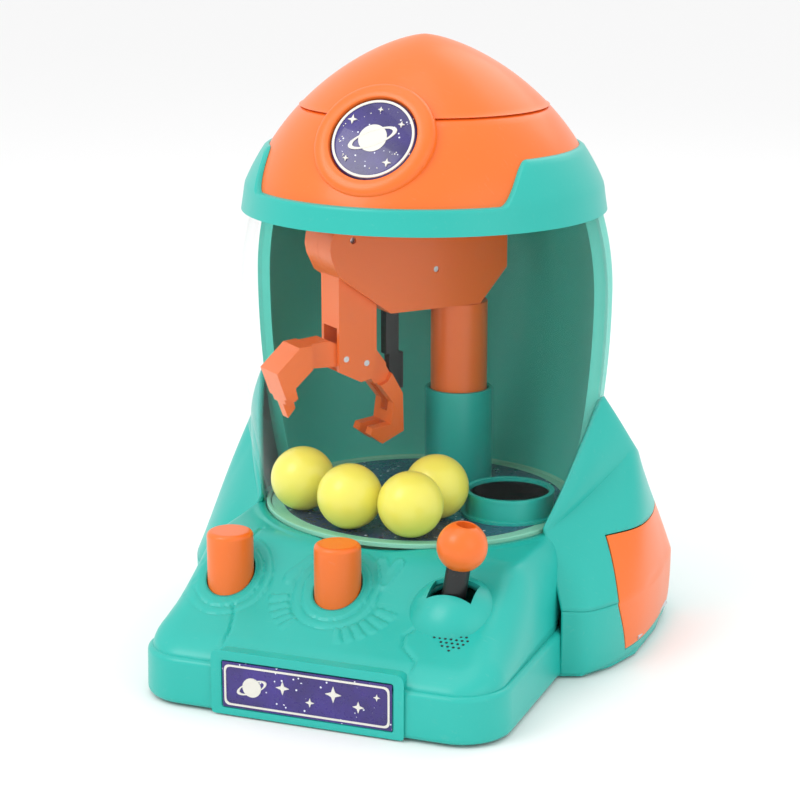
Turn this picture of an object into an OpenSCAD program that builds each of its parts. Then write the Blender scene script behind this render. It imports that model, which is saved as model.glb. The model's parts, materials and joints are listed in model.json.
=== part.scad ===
// Toy claw crane: a rocket-shaped clear chamber on a sloping console.
// A stick swings the crane arm, one button lowers it and one closes its two fingers on a ball,
// which drops through the prize cup and rolls down a chute to a door in the right side pod.

/* [Base] */
// Width of the plinth under the console
plinth_w = 141; // [120:1:150]
// Width across the two side pods
pod_w = 186; // [172:1:224]
// Depth from the name plate frame to the back wall
base_d = 193.8; // [185:0.2:232]
// Wall of the base mouldings
wall = 2.2; // [1.6:0.1:2.8]
// Height of the top edge of the plinth
plinth_z = 18; // [15:0.5:21]
// Height of the deck that carries the chamber
deck_z = 50.4; // [49:0.2:60.6]

/* [Chamber] */
// Height of the clear chamber, from the deck to the collar
chamber_h = 118.5; // [115:0.5:143]
// Widest outer radius of the chamber
chamber_r = 73; // [72:0.5:76]
// Wall of the window and the rear shell
chamber_wall = 1.8; // [1.2:0.1:2.4]
// Height of the nose above the collar
nose_h = 65.5; // [54:0.5:79]
// Wall of the nose mouldings
nose_wall = 2; // [1.5:0.1:3]

/* [Controls] */
// Radius of the two push buttons
button_r = 8.7; // [7.2:0.1:10.5]
// Travel of a push button
button_travel = 8; // [5:0.5:8]
// Radius of the ball on the stick
knob_r = 9.2; // [7.6:0.1:11.1]
// Radius of the stem of the stick
stem_r = 4.4; // [3.6:0.1:4.6]

/* [Crane] */
// Radius of the column
column_r = 11.5; // [9.5:0.1:13.8]
// Radius of the bore that holds the push rod
column_bore = 4.6; // [3.8:0.1:5.5]
// Swing of the arm from its left stop to the prize cup
arm_swing = 81; // [60:1:84]
// Teeth of the swing pinion
pinion_teeth = 16; // [16:1:17]
// Module of the swing gear
gear_module = 0.8; // [0.75:0.01:0.84]

/* [Prizes] */
// Radius of a ball
ball_r = 12.5; // [10.4:0.1:12.5]
// Outer radius of the prize cup
cup_r = 17.4; // [14.5:0.1:18]
// Height of the rim of the prize cup above the play floor
cup_h = 9.5; // [6:0.1:9.6]

/* [Hidden] */
$fn = 64;

gap = 0.3;         // between pieces that only lie side by side
run = 0.05;        // radial clearance of a running fit
eps = 0.01;

// plan of the base
plate_frame = 0.8;            // how far the name plate frame stands out
front_y = plate_frame - base_d / 2;
back_y = base_d / 2;
axis_y = back_y - 75;         // axis of the chamber
ctrl_y = front_y + 38;        // line of the buttons and the stick
plinth_x = plinth_w / 2;
pod_x = pod_w / 2;
pod_y = axis_y - 42;          // where a pod starts
corner_r = 19;
foot_h = 0.8;
plate_z = foot_h + 2;         // top of the base plate
parting_z = 27;               // joint of the lower housing and the pod covers

// chamber
collar_z = deck_z + chamber_h;
floor_z = deck_z + 1.2;
split_y = axis_y + 4;         // plane between the window and the rear shell
belly_z = deck_z + 0.73 * chamber_h;
floor_r = 60.2;
nose_top = collar_z + nose_h;
nose_low = collar_z + 9.5;    // where the nose cone meets the collar band
nose_seam = collar_z + 39;

// controls
lift_x = -47;
claw_x = -3.7;
stick_x = 40.7;
stick_z = 37;                 // pivot of the stick
stick_arm = 28.2;             // from the pivot down to the end that moves the slider
knob_z = 24.2;                // from the pivot up to the centre of the knob
pinion_r = gear_module * pinion_teeth / 2;
slider_travel = pinion_r * arm_swing * PI / 180;
stick_lean = slider_travel / stick_arm * 90 / PI;
button_top = 56.5;
button_low = 27;              // underside of the flange of a button

// column
col_x = 2.5;
col_y = axis_y + 34.4;
arm_angle = 230;              // direction in which the arm points at its left stop
sleeve_top = floor_z + 38;
key_r = 4.4;                  // keyed stem below the column
pinion_z = deck_z - 11.4;
pinion_h = 6;
fork_z = 28.7;                // bottom of the fork on the keyed stem
fork_h = 2.4;
fork_play = 1.3;              // lets the fork tilt between the two flanges

// lift train: two rockers in a row
rocker_x = lift_x;
rock1_y = ctrl_y + 22.5;
rock1_z = 16.6;
rock2_y = axis_y + 3.5;
rock2_z = 24.9;
meet_y = rock2_y - 32;
lift_travel = button_travel * (meet_y - rock1_y) / (rock1_y - ctrl_y)
    * (col_y - rock2_y) / (rock2_y - meet_y);
rock1_half = button_travel / (rock1_y - ctrl_y) * 90 / PI;
rock2_half = lift_travel / (col_y - rock2_y) * 90 / PI;

// claw train
lever_y = axis_y - 18.5;
lever_z = 9.4;
lever_half = button_travel / (lever_y - ctrl_y) * 90 / PI;
rod_travel = 6.2;             // of the push rod in the column
rocker_t = 17;                // from the column axis to the pivot of the arm rocker
rocker_z = 141.4;
claw_rod_t = 32;
arm_half = rod_travel / rocker_t * 90 / PI;
pivot_in = [46.4, 106];       // finger pivots, along the arm and up
pivot_out = [55.4, 108.5];
mesh_line = atan2(pivot_out[1] - pivot_in[1], pivot_out[0] - pivot_in[0]);
finger_pitch = norm(pivot_out - pivot_in) / 2;
pin_r = 1.2;

// door, in the side wall of the right pod
door_y = axis_y + 13;
door_top = 49;
door_low = 6;
hinge_z = 7.6;
hinge_x = pod_x - 1.95;
hinge_r = 1.9;
tongue_w = 34;

// prizes
cup_x = 38.2;
cup_y = axis_y - 6.5;
cup_wall = 1.8;
chute_half = cup_r - 0.9;
ball_at = [[-38.2, -31.9], [-12, -47.6], [13.2, -49.2], [14.3, -24]];

// screws and feet
screw_at = [for (s = [-1, 1], p = [[plinth_x - 6, ctrl_y - 2], [plinth_x + 1.5, pod_y + 10.5],
    [30, back_y - 6]]) [s * p[0], p[1]]];
foot_at = [for (s = [-1, 1], y = [front_y + 24, back_y - 30]) [s * (plinth_x - 18), y]];

// boot of the stick
boot_tilt = 33;
boot_r = 20;
boot_edge = 15.5;

// slider between the stick and the pinion
slider_z = 6.5;
slider_h = 5;
slider_w = 9;
slider_arm_x = 10;
rail_end = 27;

// rods inside the column
plunger_low = lever_z - (col_y - lever_y) * sin(lever_half) + 2.1;
tube_low = floor_z + 11.5;
plunger_top = tube_low + 4;
push_low = plunger_top + 24;

// crane arm, hanger and fingers
arm_floor = 125.6;
arm_w = 11;
arm_wall = 1.7;
arm_end = 64;
arm_screw_at = [[-10, 158], [24, 159], [54, 156]];
claw_rod_top = rocker_z + (claw_rod_t - rocker_t) * sin(arm_half) - 2.6;
hanger_t0 = 42;
hanger_t1 = 58.6;
hanger_w = 7.5;
finger_w = 5.3;

// chute and latch
chute_top = deck_z - 3.4;
latch_w = 8;

// collar, with the half width of its opening at the band and at the top, and badge
shoulder_z = collar_z + 24.5;
notch_low = chamber_r - 25.5;
notch_top = chamber_r - 16;
badge_tilt = 55.3;
badge_out = 62;
badge_r = 23;
badge_disc_r = 16.2;

function arc(c, r, a0, a1, n) =
    [for (i = [0 : n]) c + r * [cos(a0 + (a1 - a0) * i / n), sin(a0 + (a1 - a0) * i / n)]];
function mirrored(p) = [for (i = [len(p) - 1 : -1 : 0]) [-p[i][0], p[i][1]]];

// half plan of the base, front to back, drawn in by i
function half_plan(i) = concat(
    arc([plinth_x - corner_r, front_y + corner_r], corner_r - i, -90, 0, 8),
    [[plinth_x - i, pod_y], [pod_x - 12.7 - i, pod_y + 3.7], [pod_x - 5 - i, pod_y + 17.4],
     [pod_x - 0.2 - i, pod_y + 34], [pod_x - i, pod_y + 44], [pod_x - i, pod_y + 64],
     [pod_x - 3.5 - i, back_y - 24 - i / 2], [pod_x - 15 - i, back_y - 11 - i],
     [pod_x - 33 - i, back_y - 4 - i], [40, back_y - i]]);
function plan(i) = concat(half_plan(i), mirrored(half_plan(i)));

// outer radius of the chamber at height z
function chamber_at(z) = z < belly_z
    ? chamber_r - 360 + sqrt(pow(360, 2) - pow(z - belly_z, 2))
    : chamber_r - 105 + sqrt(pow(105, 2) - pow(z - belly_z, 2));
function nose_at(z) = (chamber_r - 2.5)
    * pow(max(0, 1 - pow((z - collar_z + 14) / (nose_h + 14), 2)), 0.67);
function nose_arc(z0, z1, i, n) =
    [for (k = [0 : n]) let (z = z0 + (z1 - z0) * sin(90 * k / n)) [max(0, nose_at(z) - i), z - (z > z0
        ? i * 0.5 : 0)]];

// involute gear outline: module m, n teeth, clearance c taken off each flank
function involute(rb, a) = rb * [cos(a) + a * PI / 180 * sin(a), sin(a) - a * PI / 180 * cos(a)];
function flank_angle(rb, r) = r <= rb ? 0 : sqrt(pow(r / rb, 2) - 1) * 180 / PI;
function tooth(m, n, c, s) = let (
    rp = m * n / 2, rb = rp * cos(20), ra = rp + 0.9 * m, half = 90 / n - c / rp * 180 / PI,
    at_pitch = flank_angle(rb, rp), lag = at_pitch - atan(at_pitch * PI / 180))
    [for (k = [0 : 4]) let (r = max(rb, rp - 1.1 * m) + (ra - max(rb, rp - 1.1 * m)) * k / 4,
        p = involute(rb, flank_angle(rb, r)), a = atan2(p[1], p[0]) - half - lag)
        r * [cos(a), s * sin(a)]];
function turned(p, a) = [p[0] * cos(a) - p[1] * sin(a), p[0] * sin(a) + p[1] * cos(a)];
function backwards(p) = [for (i = [len(p) - 1 : -1 : 0]) p[i]];
function gear_points(m, n, c, first, last) = [for (i = [first : last])
    for (p = concat([(m * n / 2 - 1.2 * m) * [cos(-85 / n), sin(-85 / n)]], tooth(m, n, c, 1),
        backwards(tooth(m, n, c, -1)), [(m * n / 2 - 1.2 * m) * [cos(85 / n), sin(85 / n)]]))
    turned(p, i * 360 / n)];

// outlines drawn on one plane and run along the axis across it
module along_x(x0, x1) { translate([x0, 0, 0]) rotate([90, 0, 90]) linear_extrude(x1 - x0) children(); }
module along_y(y0, y1) { translate([0, y1, 0]) rotate([90, 0, 0]) linear_extrude(y1 - y0) children(); }
module tube(r, r_in, z0, z1) {
    translate([0, 0, z0]) difference() {
        cylinder(r = r, h = z1 - z0);
        translate([0, 0, -1]) cylinder(r = r_in, h = z1 - z0 + 2);
    }
}
module rod(r, z0, z1) { translate([0, 0, z0]) cylinder(r = r, h = z1 - z0); }
module block(x0, x1, y0, y1, z0, z1) { translate([x0, y0, z0]) cube([x1 - x0, y1 - y0, z1 - z0]); }
module at_column() { translate([col_x, col_y, 0]) rotate([0, 0, arm_angle]) children(); }
module at_axis() { translate([0, axis_y, 0]) children(); }

// coil spring of round wire
module coil(r, wire, z0, z1, turns) {
    steps = turns * 10;
    sides = 6;
    points = [for (i = [0 : steps]) let (a = 36 * i, z = z0 + wire + (z1 - z0 - 2 * wire) * i / steps)
        for (k = [0 : sides - 1]) let (b = 360 * k / sides)
        [(r + wire * cos(b)) * cos(a), (r + wire * cos(b)) * sin(a), z + wire * sin(b)]];
    walls = [for (i = [0 : steps - 1]) for (k = [0 : sides - 1]) let (a = i * sides + k, b = i * sides
        + (k + 1) % sides)
        for (t = [[a, b, a + sides], [b, b + sides, a + sides]]) t];
    polyhedron(points, concat(walls, [[for (k = [sides - 1 : -1 : 0]) k]],
        [[for (k = [0 : sides - 1]) steps * sides + k]]));
}

module base_plate() {
    color("mediumturquoise") difference() {
        union() {
            translate([0, 0, foot_h]) linear_extrude(2) polygon(plan(wall + gap / 2));
            // ears for the two lift rockers, either side of each
            for (s = [-1, 1]) {
                rocker_ear(rocker_x + s * 5, rock1_y, rock1_z);
                rocker_ear(claw_x + s * 5, lever_y, lever_z);
            }
            for (x = [rocker_x - 5.2, -21]) rocker_ear(x, rock2_y, rock2_z);
            // rails that guide the slider; its arm travels past the front end of the rear one
            block(13, rail_end, ctrl_y - slider_w / 2 - 1.8, ctrl_y - slider_w / 2 - gap,
                plate_z - eps, 12);
            block(slider_arm_x + slider_travel + 1.2, rail_end, ctrl_y + slider_w / 2 + gap,
                ctrl_y + slider_w / 2 + 1.8, plate_z - eps, 12);
        }
        for (p = screw_at) translate([p[0], p[1], 0]) cylinder(r = 1.6, h = 9);
        for (p = screw_at) translate([p[0], p[1], 0]) cylinder(r = 3.2, h = foot_h + 0.8);
        for (p = foot_at) translate([p[0], p[1], -1]) cylinder(r = 6.1, h = foot_h + 1.8);
        for (p = [[rock1_y, rock1_z], [lever_y, lever_z], [rock2_y, rock2_z]])
            translate([-80, p[0], p[1]]) rotate([0, 90, 0]) cylinder(r = pin_r + 0.02, h = 100);
    }
}
module rocker_ear(x, y, z) {
    block(x - 1.5, x + 1.5, y - 3, y + 3, plate_z - eps, z);
    translate([x - 1.5, y, z]) rotate([0, 90, 0]) cylinder(r = 3, h = 3);
}

module base_feet() {
    color("dimgray") for (p = foot_at) translate([p[0], p[1], 0]) cylinder(r = 6, h = foot_h + 0.8);
}

module base_screws() {
    color("silver") for (p = screw_at) translate([p[0], p[1], foot_h + 0.1]) {
        difference() {
            cylinder(r = 3, h = 0.7);
            for (a = [0, 90]) rotate([0, 0, a]) translate([-1.6, -0.3, -1]) cube([3.2, 0.6, 1.4]);
        }
        cylinder(r = 1.25, h = 14);
    }
}

// outline of the door on the side wall, grown by g
function door_outline(g, drop = 0) = [[door_y - 31 - g, door_low - g - drop], [door_y + 31
    + g, door_low - g - drop],
    [door_y + 38 + g, 26], [door_y + 27 + g, door_top + g], [door_y - 27 - g, door_top + g],
        [door_y - 38 - g, 26]];

module lower_housing() {
    color("mediumturquoise") difference() {
        union() {
            difference() {
                translate([0, 0, foot_h]) linear_extrude(parting_z - foot_h) polygon(plan(0));
                translate([0, 0, -1]) linear_extrude(parting_z + 2) polygon(plan(wall));
                block(-pod_x, pod_x, front_y - 1, pod_y, plinth_z, parting_z + 1);
            }
            for (p = screw_at) translate([p[0], p[1], plate_z + 0.05])
                cylinder(r = 4, h = plinth_z - plate_z - 3);
            // frame round the name plate
            difference() {
                block(-36, 36, front_y - plate_frame, front_y + wall, 1.2, 23.4);
                block(-33, 33, front_y - 2, front_y - 0.1, 3, 21);
            }
        }
        for (p = screw_at) translate([p[0], p[1], 0]) cylinder(r = 1.3, h = 16);
        // the lower edge of the door swings down past its hinge
        along_x(pod_x - 20, pod_x + 1) polygon(door_outline(gap + 0.1, 0.7));
    }
    // tongue that carries the middle of the hinge pin
    color("mediumturquoise") difference() {
        union() {
            along_y(door_y - tongue_w / 2, door_y + tongue_w / 2) translate([hinge_x, hinge_z])
                circle(r = hinge_r);
            block(hinge_x - hinge_r, hinge_x + hinge_r - 0.5, door_y - tongue_w / 2, door_y
                + tongue_w / 2, 4, hinge_z);
        }
        along_y(door_y - 30, door_y + 30) translate([hinge_x, hinge_z]) circle(r = 1.02);
    }
}

// side view of the console: front lip, panel and deck, drawn in by i
function console_side(i) = [[front_y + 1.2 + i, plinth_z + 0.1], [front_y + 2.5 + i, 21 - i],
    [front_y + 12.5 + i / 2, 25.5 - i], [front_y + 30 + i / 2, 33 - i], [front_y + 41 + i / 2, 40.5 - i],
    [front_y + 56 + i / 2, deck_z - i], [back_y - i, deck_z - i], [back_y - i, plinth_z + 0.1]];

module console_shell() {
    boot = boot_place();
    color("mediumturquoise") difference() {
        union() {
            difference() {
                console_solid(0);
                translate([0, 0, -0.2]) console_solid(wall);
                // open below the deck where the pods and the back of the base meet it
                block(-pod_x, pod_x, pod_y, back_y - 14, 0, deck_z - wall);
                block(-pod_x, pod_x, pod_y, back_y + 1, 0, parting_z + 0.1);
            }
            // collars round the two buttons
            for (x = [lift_x, claw_x]) intersection() {
                translate([0, 0, 1.4]) console_solid(0);
                translate([x, ctrl_y, 20]) cylinder(r = button_r + 3.4, h = 40);
                translate([0, 0, 1]) difference() { console_solid(0);
                    translate([0, 0, -2.4]) console_solid(0); }
            }
        }
        for (x = [lift_x, claw_x]) translate([x, ctrl_y, 0]) cylinder(r = button_r + gap, h = 80);
        translate(boot) rotate([boot_tilt, 0, 0]) cylinder(r = boot_edge + 0.3, h = 30, center = true);
        at_axis() cylinder(r = 58.2, h = 80);
        block(-36.2, 36.2, front_y - 1, front_y + wall + 0.2, 0, 23.6);
    }
}
module console_solid(i) {
    intersection() {
        along_x(-plinth_x + 1 + i, plinth_x - 1 - i) polygon(console_side(i));
        linear_extrude(deck_z) polygon(plan(i > 0 ? i + 1 : 1));
    }
}

function boot_place() = [stick_x + 0.6, ctrl_y - 1.5, panel_at(ctrl_y - 1.5)];
function panel_at(y) = 33 + (y - front_y - 30) * 7.5 / 11;

module joystick_boot() {
    low = sqrt(pow(boot_r, 2) - pow(boot_edge, 2));
    color("lightseagreen") difference() {
        translate(boot_place()) rotate([boot_tilt, 0, 0]) translate([0, 0, -low]) difference() {
            sphere(r = boot_r);
            sphere(r = boot_r - 1.6);
            translate([-30, -30, -60 + low + 0.15]) cube(60);
        }
        block(boot_place()[0] - 8.5, boot_place()[0] + 8.5, ctrl_y - 5.2, ctrl_y + 5.2, 30, 60);
    }
}

module joystick_bracket() {
    color("gainsboro") difference() {
        union() for (s = [-1, 1]) {
            block(stick_x - 3, stick_x + 3, ctrl_y + s * 6.4 - 1.1, ctrl_y + s * 6.4 + 1.1, plate_z,
                stick_z);
            translate([stick_x, ctrl_y + s * 6.4 + 1.1, stick_z]) rotate([90, 0, 0])
                cylinder(r = 2.2, h = 2.2);
            block(stick_x - 6, stick_x + 6, ctrl_y + s * 6.4 - (s > 0 ? 1.1 : 5), ctrl_y + s * 6.4
                + (s > 0 ? 5 : 1.1), plate_z, plate_z + 1.6);
        }
        translate([stick_x, ctrl_y + 20, stick_z]) rotate([90, 0, 0]) cylinder(r = 1.22, h = 40);
    }
}
module joystick_pin() {
    color("silver") translate([stick_x, ctrl_y + 8, stick_z]) rotate([90, 0, 0]) cylinder(r = 1.2, h = 16);
}

module at_stick() { translate([stick_x, ctrl_y, stick_z]) rotate([0, stick_lean, 0]) children(); }
module joystick_stem() {
    color("black") at_stick() difference() {
        union() {
            rod(stem_r, -6, knob_z - 4);
            rod(2.2, -stick_arm, -5);
            translate([0, 0, -stick_arm]) sphere(r = 2.4);
        }
        translate([0, 10, 0]) rotate([90, 0, 0]) cylinder(r = 1.2 + run, h = 20);
        rod(1.2, knob_z - 12, knob_z);
    }
}
module joystick_knob() {
    color("coral") at_stick() difference() {
        translate([0, 0, knob_z]) sphere(r = knob_r);
        rod(stem_r + 0.05, knob_z - knob_r - 1, knob_z - 4);
        rod(1.7, knob_z - 5, knob_z + 20);
        rod(3.4, knob_z + 3, knob_z + 20);
    }
}
module joystick_screw() {
    color("dimgray") at_stick() difference() {
        union() {
            rod(1.15, knob_z - 11, knob_z + 3.2);
            rod(3, knob_z + 3.05, knob_z + 5);
        }
        translate([-2.2, -0.4, knob_z + 4.2]) cube([4.4, 0.8, 2]);
        translate([-0.4, -2.2, knob_z + 4.2]) cube([0.8, 4.4, 2]);
    }
}

module swing_slider() {
    end_x = stick_x - stick_arm * sin(stick_lean);
    pitch_y = col_y - pinion_r;
    rack_n = 9;
    step = PI * gear_module;
    color("whitesmoke") {
        difference() {
            union() {
                block(slider_arm_x - 5, end_x + 8, ctrl_y - slider_w / 2, ctrl_y + slider_w / 2,
                    slider_z, slider_z + slider_h);
                block(slider_arm_x - 5, slider_arm_x, ctrl_y - slider_w / 2, pitch_y - 10,
                    slider_z, slider_z + slider_h);
                block(slider_arm_x - 5, 17, pitch_y - 12, pitch_y - 6, slider_z, slider_z + slider_h);
                block(12, 17, pitch_y - 12, pitch_y - 6, slider_z, pinion_z + 0.4);
                block(col_x - 14.5, 17, pitch_y - 7, pitch_y - 1, pinion_z + 0.4, pinion_z
                    + pinion_h - 0.4);
                block(12, 17, pitch_y - 12, pitch_y - 5, pinion_z, pinion_z + pinion_h - 0.4);
            }
            block(end_x - 2.6, end_x + 2.6, ctrl_y - 2.8, ctrl_y + 2.8, 0, 30);
        }
        // rack teeth, on the side towards the pinion
        translate([0, 0, pinion_z + 0.4]) linear_extrude(pinion_h - 0.8)
            for (i = [-rack_n + 3 : 2]) translate([col_x + i * step, pitch_y])
                polygon([[-step / 4 - 0.28, -1.02], [step / 4 + 0.28, -1.02],
                    [step / 4 - 0.36, 0.8 * gear_module], [-step / 4 + 0.36, 0.8 * gear_module]]);
    }
}
module swing_pinion() {
    color("gainsboro") translate([col_x, col_y, 0]) difference() {
        union() {
            translate([0, 0, pinion_z]) linear_extrude(pinion_h)
                rotate(90 + 180 / pinion_teeth * (pinion_teeth % 2 == 0 ? 1 : 0))
                polygon(gear_points(gear_module, pinion_teeth, 0.06, 0, pinion_teeth - 1));
            rod(5.6, pinion_z + pinion_h - eps, floor_z - 4.3);
        }
        translate([0, 0, pinion_z - 1]) key_outline(0.15, 12);
    }
}
// round stem with one flat, which turns the column and lets it slide
module key_outline(c, h) {
    rotate([0, 0, arm_angle]) difference() {
        cylinder(r = key_r + c, h = h);
        translate([key_r - 0.7 + c, -10, -1]) cube([10, 20, h + 2]);
    }
}
module gear_bracket() {
    color("gainsboro") difference() {
        union() {
            block(col_x - 9, col_x + 9, col_y - 5.6, col_y + 14, pinion_z - 2.7, pinion_z - 0.3);
            for (s = [-1, 1]) block(col_x + s * 7.5 - 1.5, col_x + s * 7.5 + 1.5, col_y + 10, col_y
                + 14, plate_z, pinion_z - 2.6);
            block(col_x - 10, col_x + 10, col_y + 10, col_y + 18, plate_z, plate_z + 1.6);
        }
        translate([col_x, col_y, 0]) cylinder(r = key_r + 0.5, h = 60);
    }
}

module push_button(x, low) {
    translate([x, ctrl_y, 0]) {
        rod(button_r, button_low, button_top - 2);
        translate([0, 0, button_top - 2]) rotate_extrude()
            polygon(concat([[0, 0]], arc([button_r - 2, 0], 2, 0, 90, 5), [[0, 2]]));
        rod(button_r + 1.3, button_low, button_low + 1.4);
        rod(2.6, low, button_low + eps);
    }
}
module lift_button() { color("coral") push_button(lift_x, 23.1); }
module claw_button() { color("coral") push_button(claw_x, 15.9); }

module turned_about(y, z, a) { translate([0, y, z]) rotate([a, 0, 0]) children(); }
module lift_rocker_front() {
    front = rock1_y - ctrl_y;
    rear = meet_y - rock1_y;
    color("whitesmoke") turned_about(rock1_y, rock1_z, -rock1_half) difference() {
        union() {
            block(rocker_x - 3, rocker_x + 3, -front - 4, rear + 3, -2, 1.7);
            translate([rocker_x - 3, 0, 0]) rotate([0, 90, 0]) cylinder(r = 3.2, h = 6);
        }
        translate([rocker_x - 9, 0, 0]) rotate([0, 90, 0]) cylinder(r = pin_r + run, h = 18);
    }
}
module lift_rocker_rear() {
    front = rock2_y - meet_y;
    rear = col_y - rock2_y;
    color("whitesmoke") turned_about(rock2_y, rock2_z, rock2_half) difference() {
        union() {
            block(rocker_x - 3, rocker_x + 3, -front - 2.5, 0, -1.7, 1.7);
            block(rocker_x - 3, rocker_x + 3, -front - 2.5, -front + 2.5, -5.3, 0);
            translate([rocker_x - 3, 0, 0]) rotate([0, 90, 0]) cylinder(r = 3.2, h = -25 - rocker_x);
            block(-30, -25, 0, rear - 7, -1.7, 1.7);
            block(-30, col_x + 8.7, rear - 11, rear - 6.8, -1.2, 1.2);
            for (s = [-1, 1]) block(col_x + s * 6.9 - 1.8, col_x + s * 6.9 + 1.8, rear - 8, rear
                + 5.5, -1.2, 1.2);
        }
        translate([rocker_x - 9, 0, 0]) rotate([0, 90, 0]) cylinder(r = pin_r + run, h = 60);
    }
}
module rocker_pins() {
    color("silver") {
        translate([rocker_x - 6.5, rock1_y, rock1_z]) rotate([0, 90, 0]) cylinder(r = pin_r, h = 13);
        translate([rocker_x - 6.7, rock2_y, rock2_z]) rotate([0, 90, 0])
            cylinder(r = pin_r, h = -19.5 - rocker_x + 6.7);
        translate([claw_x - 6.5, lever_y, lever_z]) rotate([0, 90, 0]) cylinder(r = pin_r, h = 13);
    }
}
module lift_spring() {
    color("silver") translate([lift_x, ctrl_y, 0]) coil(4.5, 0.5, plate_z + 0.1, 17.5, 6);
}

module claw_lever() {
    front = lever_y - ctrl_y;
    rear = col_y - lever_y;
    color("whitesmoke") turned_about(lever_y, lever_z, -lever_half) difference() {
        union() {
            block(claw_x - 2.7, claw_x + 2.7, -front - 3, rear + 3, -1.6, 1.7);
            block(claw_x - 2.7, col_x + 3, rear - 3, rear + 3, -1.6, 1.7);
            translate([claw_x - 2.7, 0, 0]) rotate([0, 90, 0]) cylinder(r = 3, h = 5.4);
        }
        translate([claw_x - 9, 0, 0]) rotate([0, 90, 0]) cylinder(r = pin_r + run, h = 18);
    }
}
module claw_plunger() {
    color("gainsboro") translate([col_x, col_y, 0]) {
        rod(1.9, plunger_low, plunger_top - 1.5 + eps);
        rod(column_bore - 0.2, plunger_top - 1.6, plunger_top);
    }
}
module claw_spring() {
    color("silver") translate([col_x, col_y, 0]) coil(column_bore - 1.1, 0.4, plunger_top, push_low, 9);
}
module push_rod() {
    color("gainsboro") at_column() {
        rod(column_bore - 0.1, push_low, push_low + 4);
        rod(3, push_low + 4 - eps, rocker_z - rocker_t * sin(arm_half) - 2.4);
    }
}

// keyed stem, two flanges for the fork, then the wide tube that shows in the chamber
module column_tube() {
    color("coral") translate([col_x, col_y, 0]) difference() {
        union() {
            translate([0, 0, fork_z - 3.2]) key_outline(0, tube_low - fork_z + 3.7);
            rod(6.6, fork_z - 3.2, fork_z - fork_play);
            rod(6.6, fork_z + fork_h + fork_play, fork_z + fork_h + 2.8);
            rod(column_r, tube_low, arm_floor - 0.05);
            rod(8, arm_floor - 0.1, arm_floor + 6);
        }
        rod(2.2, 0, tube_low + 3);
        rod(column_bore, tube_low + 2, arm_floor + 20);
    }
}
module column_sleeve() {
    color("mediumturquoise") translate([col_x, col_y, 0]) difference() {
        union() {
            rod(column_r + 2.25, floor_z + 0.05, sleeve_top);
            rod(column_r + 0.4, floor_z - 4, floor_z + 0.1);
        }
        rod(column_r + 0.35, floor_z - 1.6, sleeve_top + 1);
        rod(key_r + 0.5, 0, floor_z);
    }
}

// side view of the arm housing, along the arm and up, drawn in by i
function arm_side(i) = concat([[-15.6 + i, 165 - i], [-15.6 + i, 139.5], [-3.3 + i / 2, arm_floor + i],
    [37.5 - i / 2, arm_floor + i],
    [arm_end - 4 - i, 142]], arc([arm_end - 12, 153], 12 - i, -20, 90, 6));
module arm_half_shell(s) {
    at_column() difference() {
        along_y(s > 0 ? 0.05 : -arm_w, s > 0 ? arm_w : -0.05) polygon(arm_side(0));
        along_y(s > 0 ? -1 : -arm_w + arm_wall, s > 0 ? arm_w - arm_wall : 1) polygon(arm_side(arm_wall));
        // the column spigot, the claw rod and the hanger come in through the floor
        rod(8.15, arm_floor - 1, arm_floor + 7);
        block(claw_rod_t - 3.6, claw_rod_t + 3.6, -3.1, 3.1, arm_floor - 1, arm_floor + 8);
        block(hanger_t0 - 0.25, hanger_t1 + 0.25, -hanger_w - 0.25, hanger_w + 0.25, 120, 148);
        translate([rocker_t, 20, rocker_z]) rotate([90, 0, 0]) cylinder(r = pin_r + 0.02, h = 40);
        for (p = arm_screw_at) translate([p[0], 20, p[1]]) rotate([90, 0, 0]) cylinder(r = 1.3, h = 40);
        // recess for the screw heads
        if (s < 0) for (p = arm_screw_at) translate([p[0], -arm_w + 1, p[1]]) rotate([90, 0, 0])
            cylinder(r = 2.7, h = 5);
    }
}
module arm_left_shell() { color("coral") arm_half_shell(1); }
module arm_right_shell() { color("coral") arm_half_shell(-1); }
module arm_screws() {
    color("silver") at_column() for (p = arm_screw_at) translate([p[0], 0, p[1]]) {
        translate([0, -arm_w + 1.05, 0]) rotate([-90, 0, 0]) cylinder(r = 1.25, h = 2 * arm_w - 3);
        translate([0, -arm_w + 0.05, 0]) rotate([-90, 0, 0]) cylinder(r = 2.5, h = 0.94);
    }
}
module arm_pin() {
    color("silver") at_column() translate([rocker_t, arm_w - 0.6, rocker_z]) rotate([90, 0, 0])
        cylinder(r = pin_r, h = 2 * arm_w - 1.2);
}
module arm_rocker() {
    front = claw_rod_t - rocker_t;
    color("whitesmoke") at_column() translate([rocker_t, 0, rocker_z]) rotate([0, -arm_half, 0])
        difference() {
        union() {
            block(-rocker_t - 3, front + 2.5, -3, 3, -1.8, 1.8);
            translate([0, 3, 0]) rotate([90, 0, 0]) cylinder(r = 3.4, h = 6);
        }
        translate([0, 9, 0]) rotate([90, 0, 0]) cylinder(r = pin_r + run, h = 18);
    }
}
module claw_rod() {
    color("black") at_column() {
        block(claw_rod_t - 3, claw_rod_t + 3, -2.2, 2.2, 107, claw_rod_top);
        along_y(-2.2, 2.2) polygon([[claw_rod_t - 5, 107.5], [claw_rod_t + 1.5, 107.5], [claw_rod_t
            + 1.5, 98], [claw_rod_t - 1.5, 92.5], [claw_rod_t - 5, 92.5]]);
    }
}

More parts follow.
